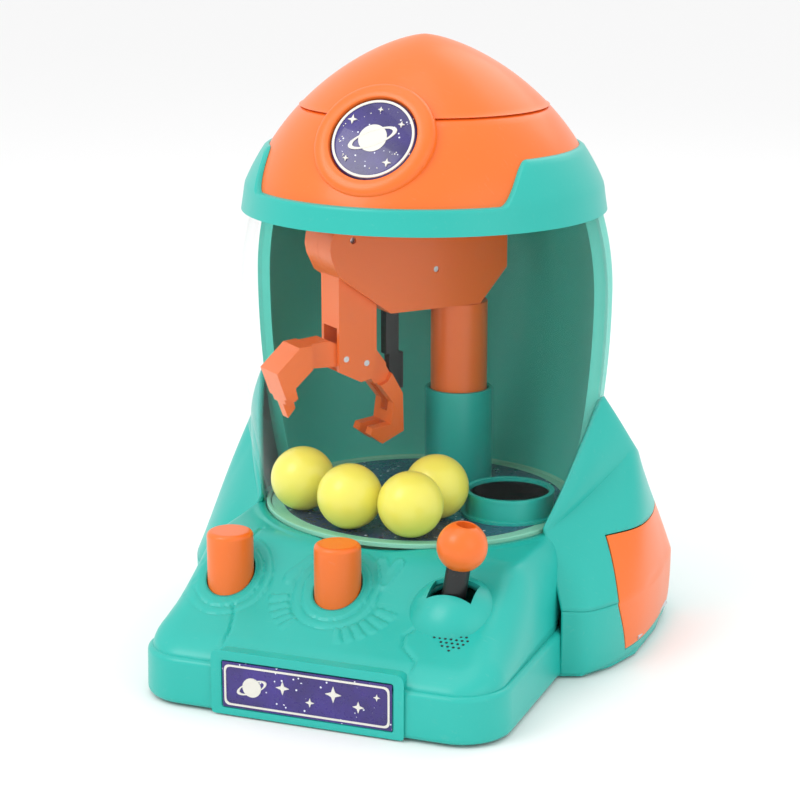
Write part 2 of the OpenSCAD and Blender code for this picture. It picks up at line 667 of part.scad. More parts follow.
module claw_hanger() {
    color("coral") at_column() difference() {
        along_y(-hanger_w, hanger_w) polygon([[hanger_t0, 146], [hanger_t0, 104], [44.5, 99.5],
            [49, 98.6], [hanger_t1, 103.5], [hanger_t1, 146]]);
        along_y(-hanger_w + 1.9, hanger_w - 1.9)
            polygon([[hanger_t0 - 1, 118], [hanger_t0 - 1, 90], [hanger_t1 + 1, 90], [hanger_t1 + 1, 121]]);
        for (p = [pivot_in, pivot_out]) along_y(-20, 20) translate(p) circle(r = pin_r + 0.02, $fn = 32);
    }
}
module finger_pins() {
    color("silver") at_column() for (p = [pivot_in, pivot_out])
        along_y(-hanger_w + 0.1, hanger_w - 0.1) translate(p) circle(r = pin_r, $fn = 32);
}

// toothed hub that makes the two fingers close together
module finger_gear(turn) {
    rotate(turn) polygon(gear_points(finger_pitch / 6, 12, 0.09, -2, 2));
    circle(r = finger_pitch * 0.78);
}
module inner_finger() {
    root = [[46.4, 103.1], [46.4, 108.9], [41.5, 111.2], [36.5, 104.4], [37.4, 98.6], [41.8, 96.5]];
    arm = [[39.6, 108.6], [30.2, 92], [29.8, 76.4], [39.5, 72.2], [44.9, 76.3], [43.8, 78.9],
        [35.6, 79.8], [34.4, 88.2], [41, 97]];
    color("coral") at_column() difference() {
        union() {
            along_y(-finger_w, finger_w) {
                translate(pivot_in) finger_gear(mesh_line);
                polygon(root);
            }
            for (s = [-1, 1]) along_y(s > 0 ? 2.7 : -hanger_w, s > 0 ? hanger_w : -2.7) intersection() {
                polygon(arm);
                polygon([[0, 60], [38.2, 60], [60, 60], [60, 88], [36.8, 97.5], [33.2, 104], [20, 104]]);
            }
            for (s = [-1, 1]) along_y(s > 0 ? 2.7 : -finger_w, s > 0 ? finger_w : -2.7) polygon(arm);
            along_y(-3, 3) polygon([[29.8, 84], [29.8, 76.4], [33, 75.1], [35.6, 79.8], [34.9, 84]]);
        }
        // slot in which the claw rod works
        along_y(-2.7, 2.7) polygon([[20, 84.2], [20, 115], [38.6, 115], [38.6, 84.2]]);
        along_y(-20, 20) translate(pivot_in) circle(r = pin_r + run, $fn = 32);
    }
}
module outer_finger() {
    arm = [[57, 113.8], [62, 116.3], [75.5, 115.2], [85.6, 106], [78.6, 86.6], [75.4, 90.2],
        [77.6, 99.4], [70, 106], [58.6, 105.6]];
    color("coral") at_column() difference() {
        union() {
            along_y(-finger_w, finger_w) translate(pivot_out) finger_gear(mesh_line + 180 + 15);
            along_y(-finger_w, finger_w) polygon(arm);
            along_y(-hanger_w, hanger_w) intersection() {
                polygon(arm);
                translate([70, 95]) square([30, 40]);
            }
        }
        // slot through the root, and a prong narrower than the gap between the inner tines
        along_y(-1.6, 1.6) polygon([[64, 100], [64, 112.6], [74, 111.6], [74, 100]]);
        for (s = [-1, 1]) along_y(s > 0 ? 2.4 : -20, s > 0 ? 20 : -2.4)
            polygon([[70, 95], [90, 91], [90, 80], [70, 80]]);
        along_y(-20, 20) translate(pivot_out) circle(r = pin_r + run, $fn = 32);
    }
}

module play_floor() {
    color("palegreen") difference() {
        union() {
            at_axis() rod(58, deck_z - 2.8, deck_z + 0.11);
            at_axis() rod(floor_r, deck_z + 0.1, floor_z);
        }
        translate([col_x, col_y, 0]) cylinder(r = column_r + 0.45, h = 80);
        translate([cup_x, cup_y, 0]) cylinder(r = cup_r - 0.2 + 0.05, h = 80);
    }
}
module floor_sticker() {
    color("midnightblue") difference() {
        at_axis() rod(55.8, floor_z + 0.01, floor_z + 0.21);
        translate([col_x, col_y, 0]) cylinder(r = column_r + 2.4, h = 80);
        translate([cup_x, cup_y, 0]) cylinder(r = cup_r + 1.75, h = 80);
    }
}
module prize_cup() {
    color("mediumturquoise") translate([cup_x, cup_y, 0]) {
        tube(cup_r - 0.2, cup_r - cup_wall, deck_z - 3.2, floor_z + cup_h);
        tube(cup_r + 1.5, cup_r - 1, floor_z + 0.01, floor_z + 1.2);
        tube(cup_r, cup_r - cup_wall, floor_z + cup_h - 1.6, floor_z + cup_h);
    }
}
module prize_chute() {
    x0 = cup_x - chute_half - 1.2;
    x1 = pod_x - 9.6;
    color("mediumturquoise") difference() {
        along_y(cup_y - chute_half - 1.6, cup_y + chute_half + 1.6)
            polygon([[x0, chute_top], [x0, 20], [x1, 6.4], [x1, 24], [x1 - 14, chute_top]]);
        along_y(cup_y - chute_half, cup_y + chute_half)
            polygon([[x0 + 1.6, chute_top + 9], [x0 + 1.6, 21.3], [x1 + 1, 7.8], [x1 + 1, chute_top + 9]]);
    }
}

// side pod with its swept fin, drawn in by i
module pod_solid(i) {
    fin_x = pod_x - 21;
    intersection() {
        translate([0, 0, parting_z + (i > 0 ? -1 : 0.1)]) linear_extrude(110) polygon(plan(i));
        along_y(front_y, back_y + 5)
            polygon([[plinth_x - 0.9, parting_z - 2], [pod_x + 1 - i, parting_z - 2], [pod_x - i, deck_z],
            [pod_x - 9 - i, 74 - i / 2], [fin_x - 0.6 * i, 99 - i], [fin_x - 12, 99 - i], [56, 70],
                [56, deck_z + 0.1], [plinth_x - 0.9, deck_z + 0.1]]);
        along_x(0, pod_x + 2) polygon([[pod_y + i, parting_z - 2], [pod_y + i, 44 - i], [pod_y + 13
            + i, 54 - i], [axis_y + 4 + i, 99 - i],
            [axis_y + 14 - i, 99 - i], [axis_y + 45 - i, 68 - i], [back_y - 10 - i, deck_z + 2 - i],
                [back_y - 2 - i, deck_z - i], [back_y - 2 - i, parting_z - 2]]);
    }
}
module pod_shell() {
    difference() {
        pod_solid(0);
        pod_solid(wall);
        at_axis() chamber_body(0.3, 40, collar_z);
    }
}
module chamber_body(c, z0, z1) {
    n = 18;
    rotate_extrude($fn = 96) polygon(concat([[0, z0]], [for (k = [0 : n])
        let (z = z0 + (z1 - z0) * k / n) [chamber_at(z) + c, z]], [[0, z1]]));
}
module right_pod_cover() {
    color("mediumturquoise") difference() {
        pod_shell();
        along_x(pod_x - 20, pod_x + 1) polygon(door_outline(gap + 0.1));
        // recess for the latch tab of the door
        block(pod_x - 6, pod_x + 2, door_y - latch_w / 2 - 0.5, door_y + latch_w / 2
            + 0.5, door_top - 2, door_top + 8);
    }
}
module left_pod_cover() { color("mediumturquoise") mirror([1, 0, 0]) pod_shell(); }

module prize_door() {
    color("coral") difference() {
        union() {
            intersection() {
                difference() {
                    linear_extrude(60) polygon(plan(0));
                    translate([0, 0, -1]) linear_extrude(62) polygon(plan(wall));
                }
                along_x(pod_x - 20, pod_x + 1) polygon(door_outline(0));
            }
            along_y(door_y - tongue_w / 2 - 5, door_y + tongue_w / 2 + 5)
                translate([hinge_x, hinge_z]) circle(r = hinge_r);
            block(pod_x - 2.1, pod_x - 0.4, door_y - latch_w / 2, door_y + latch_w / 2, door_top - 6,
                door_top + 7);
        }
        // notch for the tongue of the housing
        block(pod_x - 12, pod_x + 4, door_y - tongue_w / 2 - gap, door_y + tongue_w / 2
            + gap, 0, hinge_z + hinge_r + gap);
        along_y(door_y - 40, door_y + 40) translate([hinge_x, hinge_z]) circle(r = 1 + run);
    }
}
module door_pin() {
    color("silver") along_y(door_y - tongue_w / 2 - 4.6, door_y + tongue_w / 2 + 4.6)
        translate([hinge_x, hinge_z]) circle(r = 1);
}

module chamber_shell(z0, z1) {
    n = 18;
    rotate_extrude($fn = 96) polygon(concat(
        [for (k = [0 : n]) let (z = z0 + (z1 - z0) * k / n) [chamber_at(z), z]],
        [for (k = [n : -1 : 0]) let (z = z0 + (z1 - z0) * k / n) [chamber_at(z) - chamber_wall, z]]));
}
module window() {
    color([0.8, 0.95, 0.95, 0.3]) intersection() {
        at_axis() chamber_shell(deck_z + 0.05, collar_z + 4);
        block(-90, 90, front_y, split_y - 0.1, 0, 300);
    }
}
module rear_shell() {
    color("mediumturquoise") intersection() {
        at_axis() chamber_shell(deck_z + 0.05, collar_z + 4);
        block(-90, 90, split_y + 0.1, back_y + 5, 0, 300);
    }
}

// collar band, low in front and rising to a shoulder round the sides and the back
module collar() {
    seat = chamber_at(collar_z) + 0.3;
    color("mediumturquoise") at_axis() {
        rotate_extrude($fn = 96) polygon([[seat, collar_z], [seat + 2, collar_z], [nose_at(nose_low)
            + 2.6, nose_low],
            [nose_at(nose_low) - 2.2, nose_low], [nose_at(nose_low) - 2.2, collar_z + 4.2],
                [seat, collar_z + 4.2]]);
        difference() {
            rotate_extrude($fn = 96) polygon(concat(
                [for (k = [0 : 6]) let (z = nose_low - eps + (shoulder_z - nose_low)
                    * k / 6) [nose_at(z) + 2.6 - 0.15 * k, z]],
                [for (k = [6 : -1 : 0]) let (z = nose_low - eps + (shoulder_z - nose_low)
                    * k / 6) [nose_at(z) + 0.3, z]]));
            // open in front, with sloping ends
            along_y(-90, -15) polygon([[-notch_low, nose_low], [notch_low, nose_low],
                [notch_top, shoulder_z], [-notch_top, shoulder_z]]);
        }
    }
}
module nose_cone() {
    color("coral") difference() {
        at_axis() rotate_extrude($fn = 96) polygon(concat(nose_arc(nose_low + 0.1, nose_seam, 0, 10),
            backwards(nose_arc(nose_low + 0.1, nose_seam, nose_wall, 10))));
        at_badge() rod(badge_r + 0.1, -20, 20);
    }
}
module nose_cap() {
    color("coral") difference() {
        at_axis() rotate_extrude($fn = 96) polygon(concat(
            nose_arc(nose_seam + 0.15, nose_top, 0, 12),
            [for (p = backwards(nose_arc(nose_seam + 0.15, nose_top - nose_wall, nose_wall,
                12))) [p[0], p[1] + nose_wall * 0.4]]));
        at_badge() rod(badge_r + 0.1, -20, 20);
    }
}
module at_badge() {
    translate([0, axis_y, collar_z - 4.3]) rotate([badge_tilt, 0, 0])
        translate([0, 0, badge_out]) children();
}
module badge_ring() {
    color("coral") at_badge() difference() {
        rod(badge_r, -7, 3.2);
        rod(badge_r - nose_wall, -8, -0.6);
        rod(badge_disc_r + 0.1, 1, 8);
    }
}
module badge_disc() { color("indigo") at_badge() rod(badge_disc_r, 1.02, 3.6); }
module name_plate() {
    color("midnightblue") block(-32.6, 32.6, front_y - 0.6, front_y - 0.12, 3.4, 20.6);
}

module ball(n) {
    color("khaki") translate([ball_at[n][0], ball_at[n][1] + axis_y, floor_z + 0.22 + ball_r])
        sphere(r = ball_r);
}
module ball_left() { ball(0); }
module ball_middle() { ball(1); }
module ball_front() { ball(2); }
module ball_back() { ball(3); }

base_plate();
base_feet();
base_screws();
lower_housing();
console_shell();
name_plate();
right_pod_cover();
left_pod_cover();
prize_door();
door_pin();
play_floor();
floor_sticker();
prize_cup();
prize_chute();
column_sleeve();
gear_bracket();
rear_shell();
window();
collar();
nose_cone();
nose_cap();
badge_ring();
badge_disc();
joystick_boot();
joystick_bracket();
joystick_pin();
joystick_stem();
joystick_knob();
joystick_screw();
swing_slider();
swing_pinion();
lift_button();
lift_spring();
lift_rocker_front();
lift_rocker_rear();
rocker_pins();
claw_button();
claw_lever();
claw_plunger();
claw_spring();
column_tube();
arm_left_shell();
arm_right_shell();
arm_screws();
arm_pin();
arm_rocker();
push_rod();
claw_rod();
claw_hanger();
finger_pins();
outer_finger();
inner_finger();
ball_left();
ball_middle();
ball_front();
ball_back();
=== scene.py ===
import json
import math
import random
import bmesh
import bpy
from mathutils import Matrix, Vector


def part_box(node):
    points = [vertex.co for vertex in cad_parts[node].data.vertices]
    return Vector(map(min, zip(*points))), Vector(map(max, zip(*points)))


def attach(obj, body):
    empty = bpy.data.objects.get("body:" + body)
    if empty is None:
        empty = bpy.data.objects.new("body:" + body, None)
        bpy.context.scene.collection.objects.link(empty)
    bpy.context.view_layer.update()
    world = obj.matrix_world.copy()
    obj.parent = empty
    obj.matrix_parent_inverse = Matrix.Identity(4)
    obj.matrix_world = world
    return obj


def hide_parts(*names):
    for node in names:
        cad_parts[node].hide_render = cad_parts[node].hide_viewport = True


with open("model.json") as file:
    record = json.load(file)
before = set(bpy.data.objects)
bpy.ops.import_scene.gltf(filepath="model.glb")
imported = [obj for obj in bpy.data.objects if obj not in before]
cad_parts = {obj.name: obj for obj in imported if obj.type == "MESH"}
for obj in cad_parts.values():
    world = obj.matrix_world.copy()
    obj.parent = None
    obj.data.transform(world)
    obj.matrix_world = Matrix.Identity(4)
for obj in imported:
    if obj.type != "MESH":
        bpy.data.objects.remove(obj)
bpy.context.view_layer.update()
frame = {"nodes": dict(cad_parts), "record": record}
scene = bpy.context.scene
nodes = frame["nodes"]
mm = 0.001
print("frame loaded")


# places taken from the frame
def boxMm(node):
    low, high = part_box(node)
    return low / mm, high / mm


floorLow, floorHigh = boxMm("play_floor")
axisY = (floorLow.y + floorHigh.y) / 2          # axis of the chamber
deckZ = boxMm("window")[0].z - 0.05
collarZ = boxMm("collar")[0].z
noseTop = boxMm("nose_cap")[1].z
plateY = boxMm("name_plate")[0].y
frontY = plateY + 0.6
backY = boxMm("lower_housing")[1].y
podX = boxMm("lower_housing")[1].x
partingZ = boxMm("lower_housing")[1].z
liftKey = [(a + b) / 2 for a, b in zip(*boxMm("lift_button"))]
clawKey = [(a + b) / 2 for a, b in zip(*boxMm("claw_button"))]
ctrlY = clawKey[1]
bellyZ = deckZ + 0.73 * (collarZ - deckZ)
chamberCurve = {"belly": 73, "below": 360, "above": 105}     # radius at the belly, and of the side's two arcs
noseCurve = {"foot": 70.5, "drop": 14, "fullness": 0.67}


def chamberAt(z):
    if z < bellyZ:
        arc = chamberCurve["below"]
    else:
        arc = chamberCurve["above"]
    return chamberCurve["belly"] - arc + math.sqrt(arc ** 2 - (z - bellyZ) ** 2)


def noseAt(z):
    drop = noseCurve["drop"]
    u = (z - collarZ + drop) / (noseTop - collarZ + drop + 0.05)
    return noseCurve["foot"] * max(0, 1 - u * u) ** noseCurve["fullness"]


def smooth(a, b, x):
    t = min(1, max(0, (x - a) / (b - a)))
    return t * t * (3 - 2 * t)


# shader helpers
class Sock:
    # wraps a socket, so an expression on values becomes Math nodes
    def __init__(self, shade, socket):
        self.shade, self.socket = shade, socket

    def math(self, kind, a, b):
        return self.shade.node("ShaderNodeMath", {"operation": kind}, [a, b])

    def __add__(self, o): return self.math("ADD", self, o)
    def __radd__(self, o): return self.math("ADD", o, self)
    def __sub__(self, o): return self.math("SUBTRACT", self, o)
    def __rsub__(self, o): return self.math("SUBTRACT", o, self)
    def __mul__(self, o): return self.math("MULTIPLY", self, o)
    def __rmul__(self, o): return self.math("MULTIPLY", o, self)
    def __truediv__(self, o): return self.math("DIVIDE", self, o)
    def __pow__(self, o): return self.math("POWER", self, o)
    def __gt__(self, o): return self.math("GREATER_THAN", self, o)
    def __lt__(self, o): return self.math("LESS_THAN", self, o)


class Shade:
    def __init__(self, name):
        self.mat = bpy.data.materials.new(name)
        self.mat.use_nodes = True
        self.tree = self.mat.node_tree
        self.tree.nodes.clear()
        self.out = self.tree.nodes.new("ShaderNodeOutputMaterial")

    def link(self, value, socket):
        if isinstance(value, Sock):
            self.tree.links.new(value.socket, socket)
        elif hasattr(socket, "default_value"):
            if hasattr(socket.default_value, "__len__") and len(socket.default_value) == 4 and len(value) == 3:
                value = (*value, 1)
            socket.default_value = value

    def node(self, kind, settings=None, values=None, output=0):
        n = self.tree.nodes.new(kind)
        for key, v in (settings or {}).items():
            if key == "stops":
                ramp = n.color_ramp
                while len(ramp.elements) < len(v):
                    ramp.elements.new(0.5)
                for e, (at, c) in zip(ramp.elements, v):
                    e.position, e.color = at, (*c, 1)
            else:
                setattr(n, key, v)
        for key, v in (values.items() if isinstance(values, dict) else enumerate(values or [])):
            self.link(v, n.inputs[key])
        return Sock(self, n.outputs[output])

    def place(self):
        return self.node("ShaderNodeTexCoord", output=3)

    def noise(self, scale, detail=2.0, rough=0.5, at=None):
        return self.node("ShaderNodeTexNoise", None,
                         {"Vector": at or self.place(), "Scale": scale, "Detail": detail, "Roughness": rough})

    def mix(self, factor, a, b):
        n = self.tree.nodes.new("ShaderNodeMix")
        n.data_type = "RGBA"
        self.link(factor, n.inputs[0])
        self.link(a, n.inputs[6])
        self.link(b, n.inputs[7])
        return Sock(self, n.outputs[2])

    def bump(self, height, distance, strength=1.0):
        return self.node("ShaderNodeBump", None, {"Height": height, "Distance": distance, "Strength": strength})

    def surface(self, **values):
        keys = {"color": "Base Color", "rough": "Roughness", "metal": "Metallic", "normal": "Normal", "alpha": "Alpha",
                "coat": "Coat Weight", "coatRough": "Coat Roughness", "ior": "IOR", "sub": "Subsurface Weight",
                "subScale": "Subsurface Scale", "subRadius": "Subsurface Radius", "specular": "Specular IOR Level",
                "transmission": "Transmission Weight"}
        bsdf = self.node("ShaderNodeBsdfPrincipled", None, {keys[k]: v for k, v in values.items()})
        self.link(bsdf, self.out.inputs[0])
        return self.mat


def linear(*rgb):
    return tuple(((c / 255 + 0.055) / 1.055) ** 2.4 if c > 10 else c / 255 / 12.92 for c in rgb)


def moulded(name, color, rough=0.34, grain=0.02, fade=0.05, coat=0.0):
    # injection moulded plastic: faint flow clouds, fine spark-eroded grain, rubbed patches and hairline scuffs
    s = Shade(name)
    clouds = s.noise(28, 3)
    flow = s.noise(9, 2)
    grainy = s.noise(2600, 2, 0.6)
    scuff = s.noise(160, 6, 0.7, s.node("ShaderNodeMapping", None, {0: s.place(), 3: (1, 6, 2)}))
    worn = s.node("ShaderNodeMapRange", None, {0: scuff, 1: 0.6, 2: 0.78, 3: 0.0, 4: 1.0})
    light = tuple(min(1, c * (1 + fade) + fade * 0.06) for c in color)
    dark = tuple(c * (1 - fade) for c in color)
    shade = s.mix(clouds * 0.7 + flow * 0.3, dark, light)
    shade = s.mix(worn * 0.06, shade, (0.8, 0.8, 0.8))
    normal = s.bump(grainy + worn * -0.6, grain * mm)
    return s.surface(color=shade, rough=rough + (clouds - 0.5) * 0.1 + worn * 0.12, normal=normal, coat=coat,
                     sub=0.04, subRadius=(0.6, 0.6, 0.6), subScale=0.002)


finish = {
    "teal": moulded("tealShell", linear(30, 180, 168), 0.34, 0.012),
    # the rear shell is the same teal plastic; this second copy is painted lighter to offset the shade the window and
    # dome cast inside the chamber
    "tealPaintedLighter": moulded("tealInnerPaintedLighter", linear(72, 200, 182), 0.42, 0.01),
    "mint": moulded("mintFloor", linear(140, 212, 186), 0.36, 0.015),
    "orange": moulded("orangeShell", linear(240, 112, 30), 0.33, 0.012, coat=0.08),
    "yellow": moulded("ballShell", linear(243, 235, 96), 0.3, 0.012, coat=0.15),
    "white": moulded("naturalNylon", linear(226, 224, 214), 0.45, 0.02),
    "black": moulded("blackAcetal", linear(24, 23, 24), 0.38, 0.02),
    "rubber": moulded("footRubber", linear(44, 44, 46), 0.75, 0.05),
}


def plated():
    s = Shade("zincPlate")
    brushed = s.noise(900, 3, 0.6, s.node("ShaderNodeMapping", None, {0: s.place(), 3: (1, 1, 12)}))
    spots = s.noise(220, 4, 0.6)
    color = s.mix(spots, (0.5, 0.5, 0.52), (0.72, 0.72, 0.74))
    return s.surface(color=color, metal=1.0, rough=0.28 + brushed * 0.2, normal=s.bump(brushed, 0.01 * mm))


def clearShell():
    # clear polystyrene: nearly invisible face on, brighter at a glancing angle, with faint rub marks
    s = Shade("clearStyrene")
    facing = s.node("ShaderNodeLayerWeight", None, {"Blend": 0.32}, 1)
    rub = s.noise(60, 5, 0.65, s.node("ShaderNodeMapping", None, {0: s.place(), 3: (3, 3, 1)}))
    haze = s.node("ShaderNodeMapRange", None, {0: rub, 1: 0.55, 2: 0.8, 3: 0.0, 4: 0.03})
    return s.surface(color=(0.78, 0.86, 0.85), rough=0.05 + haze * 2, alpha=0.008 + haze * 0.35 + (facing ** 4) * 0.4,
                     normal=s.bump(rub, 0.03 * mm), coat=0.4)


finish["steel"] = plated()
finish["clear"] = clearShell()


def starFilm(name, deep, pale, spots, size):
    # printed film: deep gradient, soft nebula, scattered specks and a gloss coat with a faint orange peel
    s = Shade(name)
    cloud = s.noise(45, 4, 0.6)
    base = s.mix(s.node("ShaderNodeMapRange", None, {0: cloud, 1: 0.35, 2: 0.7, 3: 0.0, 4: 1.0}), deep, pale)
    cells = s.node("ShaderNodeTexVoronoi", {"feature": "F1"}, {"Vector": s.place(), "Scale": spots, "Randomness": 1.0})
    pick = s.noise(spots * 0.37, 1)
    speck = (cells < size) * (pick > 0.5)
    color = s.mix(speck, base, (0.75, 0.78, 0.9))
    scuff = s.noise(300, 5, 0.7)
    return s.surface(color=color, rough=0.22 + scuff * 0.12, coat=0.5, normal=s.bump(scuff, 0.015 * mm))


finish["plateFilm"] = starFilm("plateFilm", linear(38, 20, 98), linear(58, 36, 140), 420, 0.16)
finish["badgeFilm"] = starFilm("badgeFilm", linear(30, 20, 84), linear(52, 34, 128), 420, 0.14)
finish["floorFilm"] = starFilm("floorFilm", linear(34, 52, 92), linear(48, 74, 112), 260, 0.15)


# mesh helpers, all sizes in millimetres
def makePiece(name, verts, faces, mat, sharp=32, flip=False):
    mesh = bpy.data.meshes.new(name)
    mesh.from_pydata([Vector(v) * mm for v in verts], [], faces)
    bm = bmesh.new()
    bm.from_mesh(mesh)
    bmesh.ops.remove_doubles(bm, verts=bm.verts, dist=0.004 * mm)
    bmesh.ops.dissolve_degenerate(bm, edges=bm.edges, dist=0.002 * mm)
    bmesh.ops.recalc_face_normals(bm, faces=bm.faces)
    if flip:
        bmesh.ops.reverse_faces(bm, faces=bm.faces)
    bm.to_mesh(mesh)
    bm.free()
    mesh.polygons.foreach_set("use_smooth", [True] * len(mesh.polygons))
    mesh.set_sharp_from_angle(angle=math.radians(sharp))
    piece = bpy.data.objects.new(name, mesh)
    scene.collection.objects.link(piece)
    mesh.materials.append(mat)
    return piece


def loft(rings, closed=True):
    # quads between rings that all have the same number of points
    n = len(rings[0])
    verts = [p for ring in rings for p in ring]
    faces = []
    for k in range(len(rings) - 1):
        for i in range(n if closed else n - 1):
            j = (i + 1) % n
            faces.append((k * n + i, k * n + j, (k + 1) * n + j, (k + 1) * n + i))
    return verts, faces


def capped(verts, faces, n):
    # closes both ends of a loft with a flat cap
    return faces + [tuple(range(n - 1, -1, -1)), tuple(len(verts) - n + i for i in range(n))]


def revolve(profile, centre=(0, 0), steps=128, a0=0.0, a1=360.0):
    full = abs(a1 - a0) >= 360
    count = steps if full else steps + 1
    rings = []
    for r, z in profile:
        ring = []
        for i in range(count):
            a = math.radians(a0 + (a1 - a0) * i / steps)
            ring.append((centre[0] + r * math.cos(a), centre[1] + r * math.sin(a), z))
        rings.append(ring)
    return loft(rings, full)


def rounded(points, radius, n=4):
    # an outline with every corner turned into an arc
    out = []
    count = len(points)
    for i, p in enumerate(points):
        r = radius[i] if isinstance(radius, (list, tuple)) else radius
        a, b = Vector(points[i - 1]) - Vector(p), Vector(points[(i + 1) % count]) - Vector(p)
        if r <= 0 or a.length < 1e-6 or b.length < 1e-6:
            out.append(tuple(p))
            continue
        half = a.angle(b) / 2
        cut = min(r / math.tan(half), a.length * 0.48, b.length * 0.48)
        start, end = Vector(p) + a.normalized() * cut, Vector(p) + b.normalized() * cut
        for k in range(n + 1):
            t = k / n
            out.append(tuple((1 - t) ** 2 * start + 2 * t * (1 - t) * Vector(p) + t * t * end))
    return out


def prism(outline, place, depth0, depth1, edge=0.5, steps=3):
    # an outline run along an axis, with both rims rounded; place maps (u, v, depth) to a point
    centre = Vector((sum(p[0] for p in outline) / len(outline), sum(p[1] for p in outline) / len(outline)))
    inward = []
    n = len(outline)
    for i in range(n):
        a, b, c = Vector(outline[i - 1]), Vector(outline[i]), Vector(outline[(i + 1) % n])
        d1, d2 = (b - a), (c - b)
        normal = Vector((-d1.y, d1.x)).normalized() + Vector((-d2.y, d2.x)).normalized()
        inward.append(normal.normalized() if normal.length > 1e-6 else (centre - b).normalized())
    area = sum(outline[i - 1][0] * outline[i][1] - outline[i][0] * outline[i - 1][1] for i in range(n))
    if area < 0:
        inward = [-v for v in inward]
    layers = [(edge * (1 - math.sin(math.pi / 2 * k / steps)), depth0 + edge * (1 - math.cos(math.pi / 2 * k / steps)))
              for k in range(steps + 1)]
    layers += [(edge * (1 - math.cos(math.pi / 2 * k / steps)), depth1 - edge * (1 - math.sin(math.pi / 2 * k / steps)))
               for k in range(steps + 1)]
    rings = [[place(p[0] + v.x * inset, p[1] + v.y * inset, d) for p, v in zip(outline, inward)] for inset, d in layers]
    verts, faces = loft(rings)
    return verts, capped(verts, faces, n)


def joined(*shapes):
    verts, faces = [], []
    for v, f in shapes:
        base = len(verts)
        verts += list(v)
        faces += [tuple(i + base for i in face) for face in f]
    return verts, faces


# carried-over CAD nodes
look = {
    "teal": "base_plate prize_chute column_sleeve prize_cup lower_housing console_shell right_pod_cover left_pod_cover "
            "rear_shell collar joystick_boot",
    "orange": "column_tube prize_door nose_cone nose_cap badge_ring joystick_knob lift_button claw_button arm_left_shell "
              "arm_right_shell claw_hanger outer_finger inner_finger",
    "white": "gear_bracket joystick_bracket swing_slider swing_pinion lift_rocker_front lift_rocker_rear claw_lever "
             "claw_plunger push_rod arm_rocker",
    "steel": "base_screws door_pin joystick_pin joystick_screw lift_spring rocker_pins claw_spring arm_pin arm_screws "
             "finger_pins",
    "yellow": "ball_left ball_middle ball_front ball_back", "mint": "play_floor", "rubber": "base_feet", "clear": "window",
    "black": "joystick_stem claw_rod", "floorFilm": "floor_sticker", "badgeFilm": "badge_disc", "plateFilm": "name_plate",
}
look = {node: kind for kind, members in look.items() for node in members.split()}
slotOf = {kind: kind for kind in look.values()}
slotOf.update(floorFilm="sticker", badgeFilm="sticker", plateFilm="sticker")
for name, node in nodes.items():
    for slot in node.material_slots:
        slot.link = "OBJECT"
        slot.material = finish[look[name]]
print("CAD nodes dressed")

# floor, light and camera
studio = {"azimuth": 21.02, "elevation": 14.40, "distance": 834.57, "target": (0, axisY - 25.884, 97.81),
          "lens": 98.22}


def makeStudio():
    bpy.ops.mesh.primitive_plane_add(size=40, location=(0, 0, -0.0002))
    ground = bpy.context.object
    s = Shade("paperFloor")
    ground.data.materials.append(s.surface(color=(0.93, 0.93, 0.93), rough=0.9,
                                           normal=s.bump(s.noise(40, 2), 0.05 * mm)))
    world = bpy.data.worlds.new("studioWorld")
    scene.world = world
    world.use_nodes = True
    world.node_tree.nodes["Background"].inputs[0].default_value = (1, 1, 1, 1)
    world.node_tree.nodes["Background"].inputs[1].default_value = 1.0
    lamps = [("keyLamp", (-0.55, -0.75, 0.95), 0.6, 4.2), ("fillLamp", (0.9, -0.5, 0.5), 0.8, 1.0),
             ("rimLamp", (0.25, 0.8, 0.9), 0.7, 1.6), ("topLamp", (-0.1, -0.1, 1.1), 0.6, 1.0)]
    for name, at, size, power in lamps:
        lamp = bpy.data.lights.new(name, "AREA")
        lamp.size, lamp.energy = size, power
        o = bpy.data.objects.new(name, lamp)
        o.location = at
        o.rotation_euler = (Vector((0, 0, 0.1)) - Vector(at)).to_track_quat("-Z", "Y").to_euler()
        scene.collection.objects.link(o)
    cam = bpy.data.cameras.new("mainCamera")
    cam.lens, cam.sensor_width = studio["lens"], 36
    cam.clip_start, cam.clip_end = 0.05, 60
    o = bpy.data.objects.new("mainCamera", cam)
    a, e = math.radians(studio["azimuth"]), math.radians(studio["elevation"])
    back = Vector((math.sin(a) * math.cos(e), -math.cos(a) * math.cos(e), math.sin(e)))
    o.location = (Vector(studio["target"]) + back * studio["distance"]) * mm
    o.rotation_euler = (-back).to_track_quat("-Z", "Y").to_euler()
    scene.collection.objects.link(o)
    scene.camera = o
    scene.view_settings.view_transform = "Standard"


makeStudio()
print("studio ready")

# putting a finished piece in the model
bodies = frame["record"]["behaviour"]["bodies"]
bodyOf = {n: body for body, members in bodies.items() for n in members}


def place(piece, body, slot, replaced=()):
    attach(piece, body)
    if replaced:
        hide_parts(*replaced)
    return piece


def wall(piece, thickness, offset=-1):
    solid = piece.modifiers.new("wall", "SOLIDIFY")
    solid.thickness, solid.offset = thickness * mm, offset
    return piece


def softEdges(piece, width, segments=3, angle=35):
    edge = piece.modifiers.new("edge", "BEVEL")
    edge.width, edge.segments, edge.limit_method = width * mm, segments, "ANGLE"
    edge.angle_limit, edge.harden_normals = math.radians(angle), False
    return piece


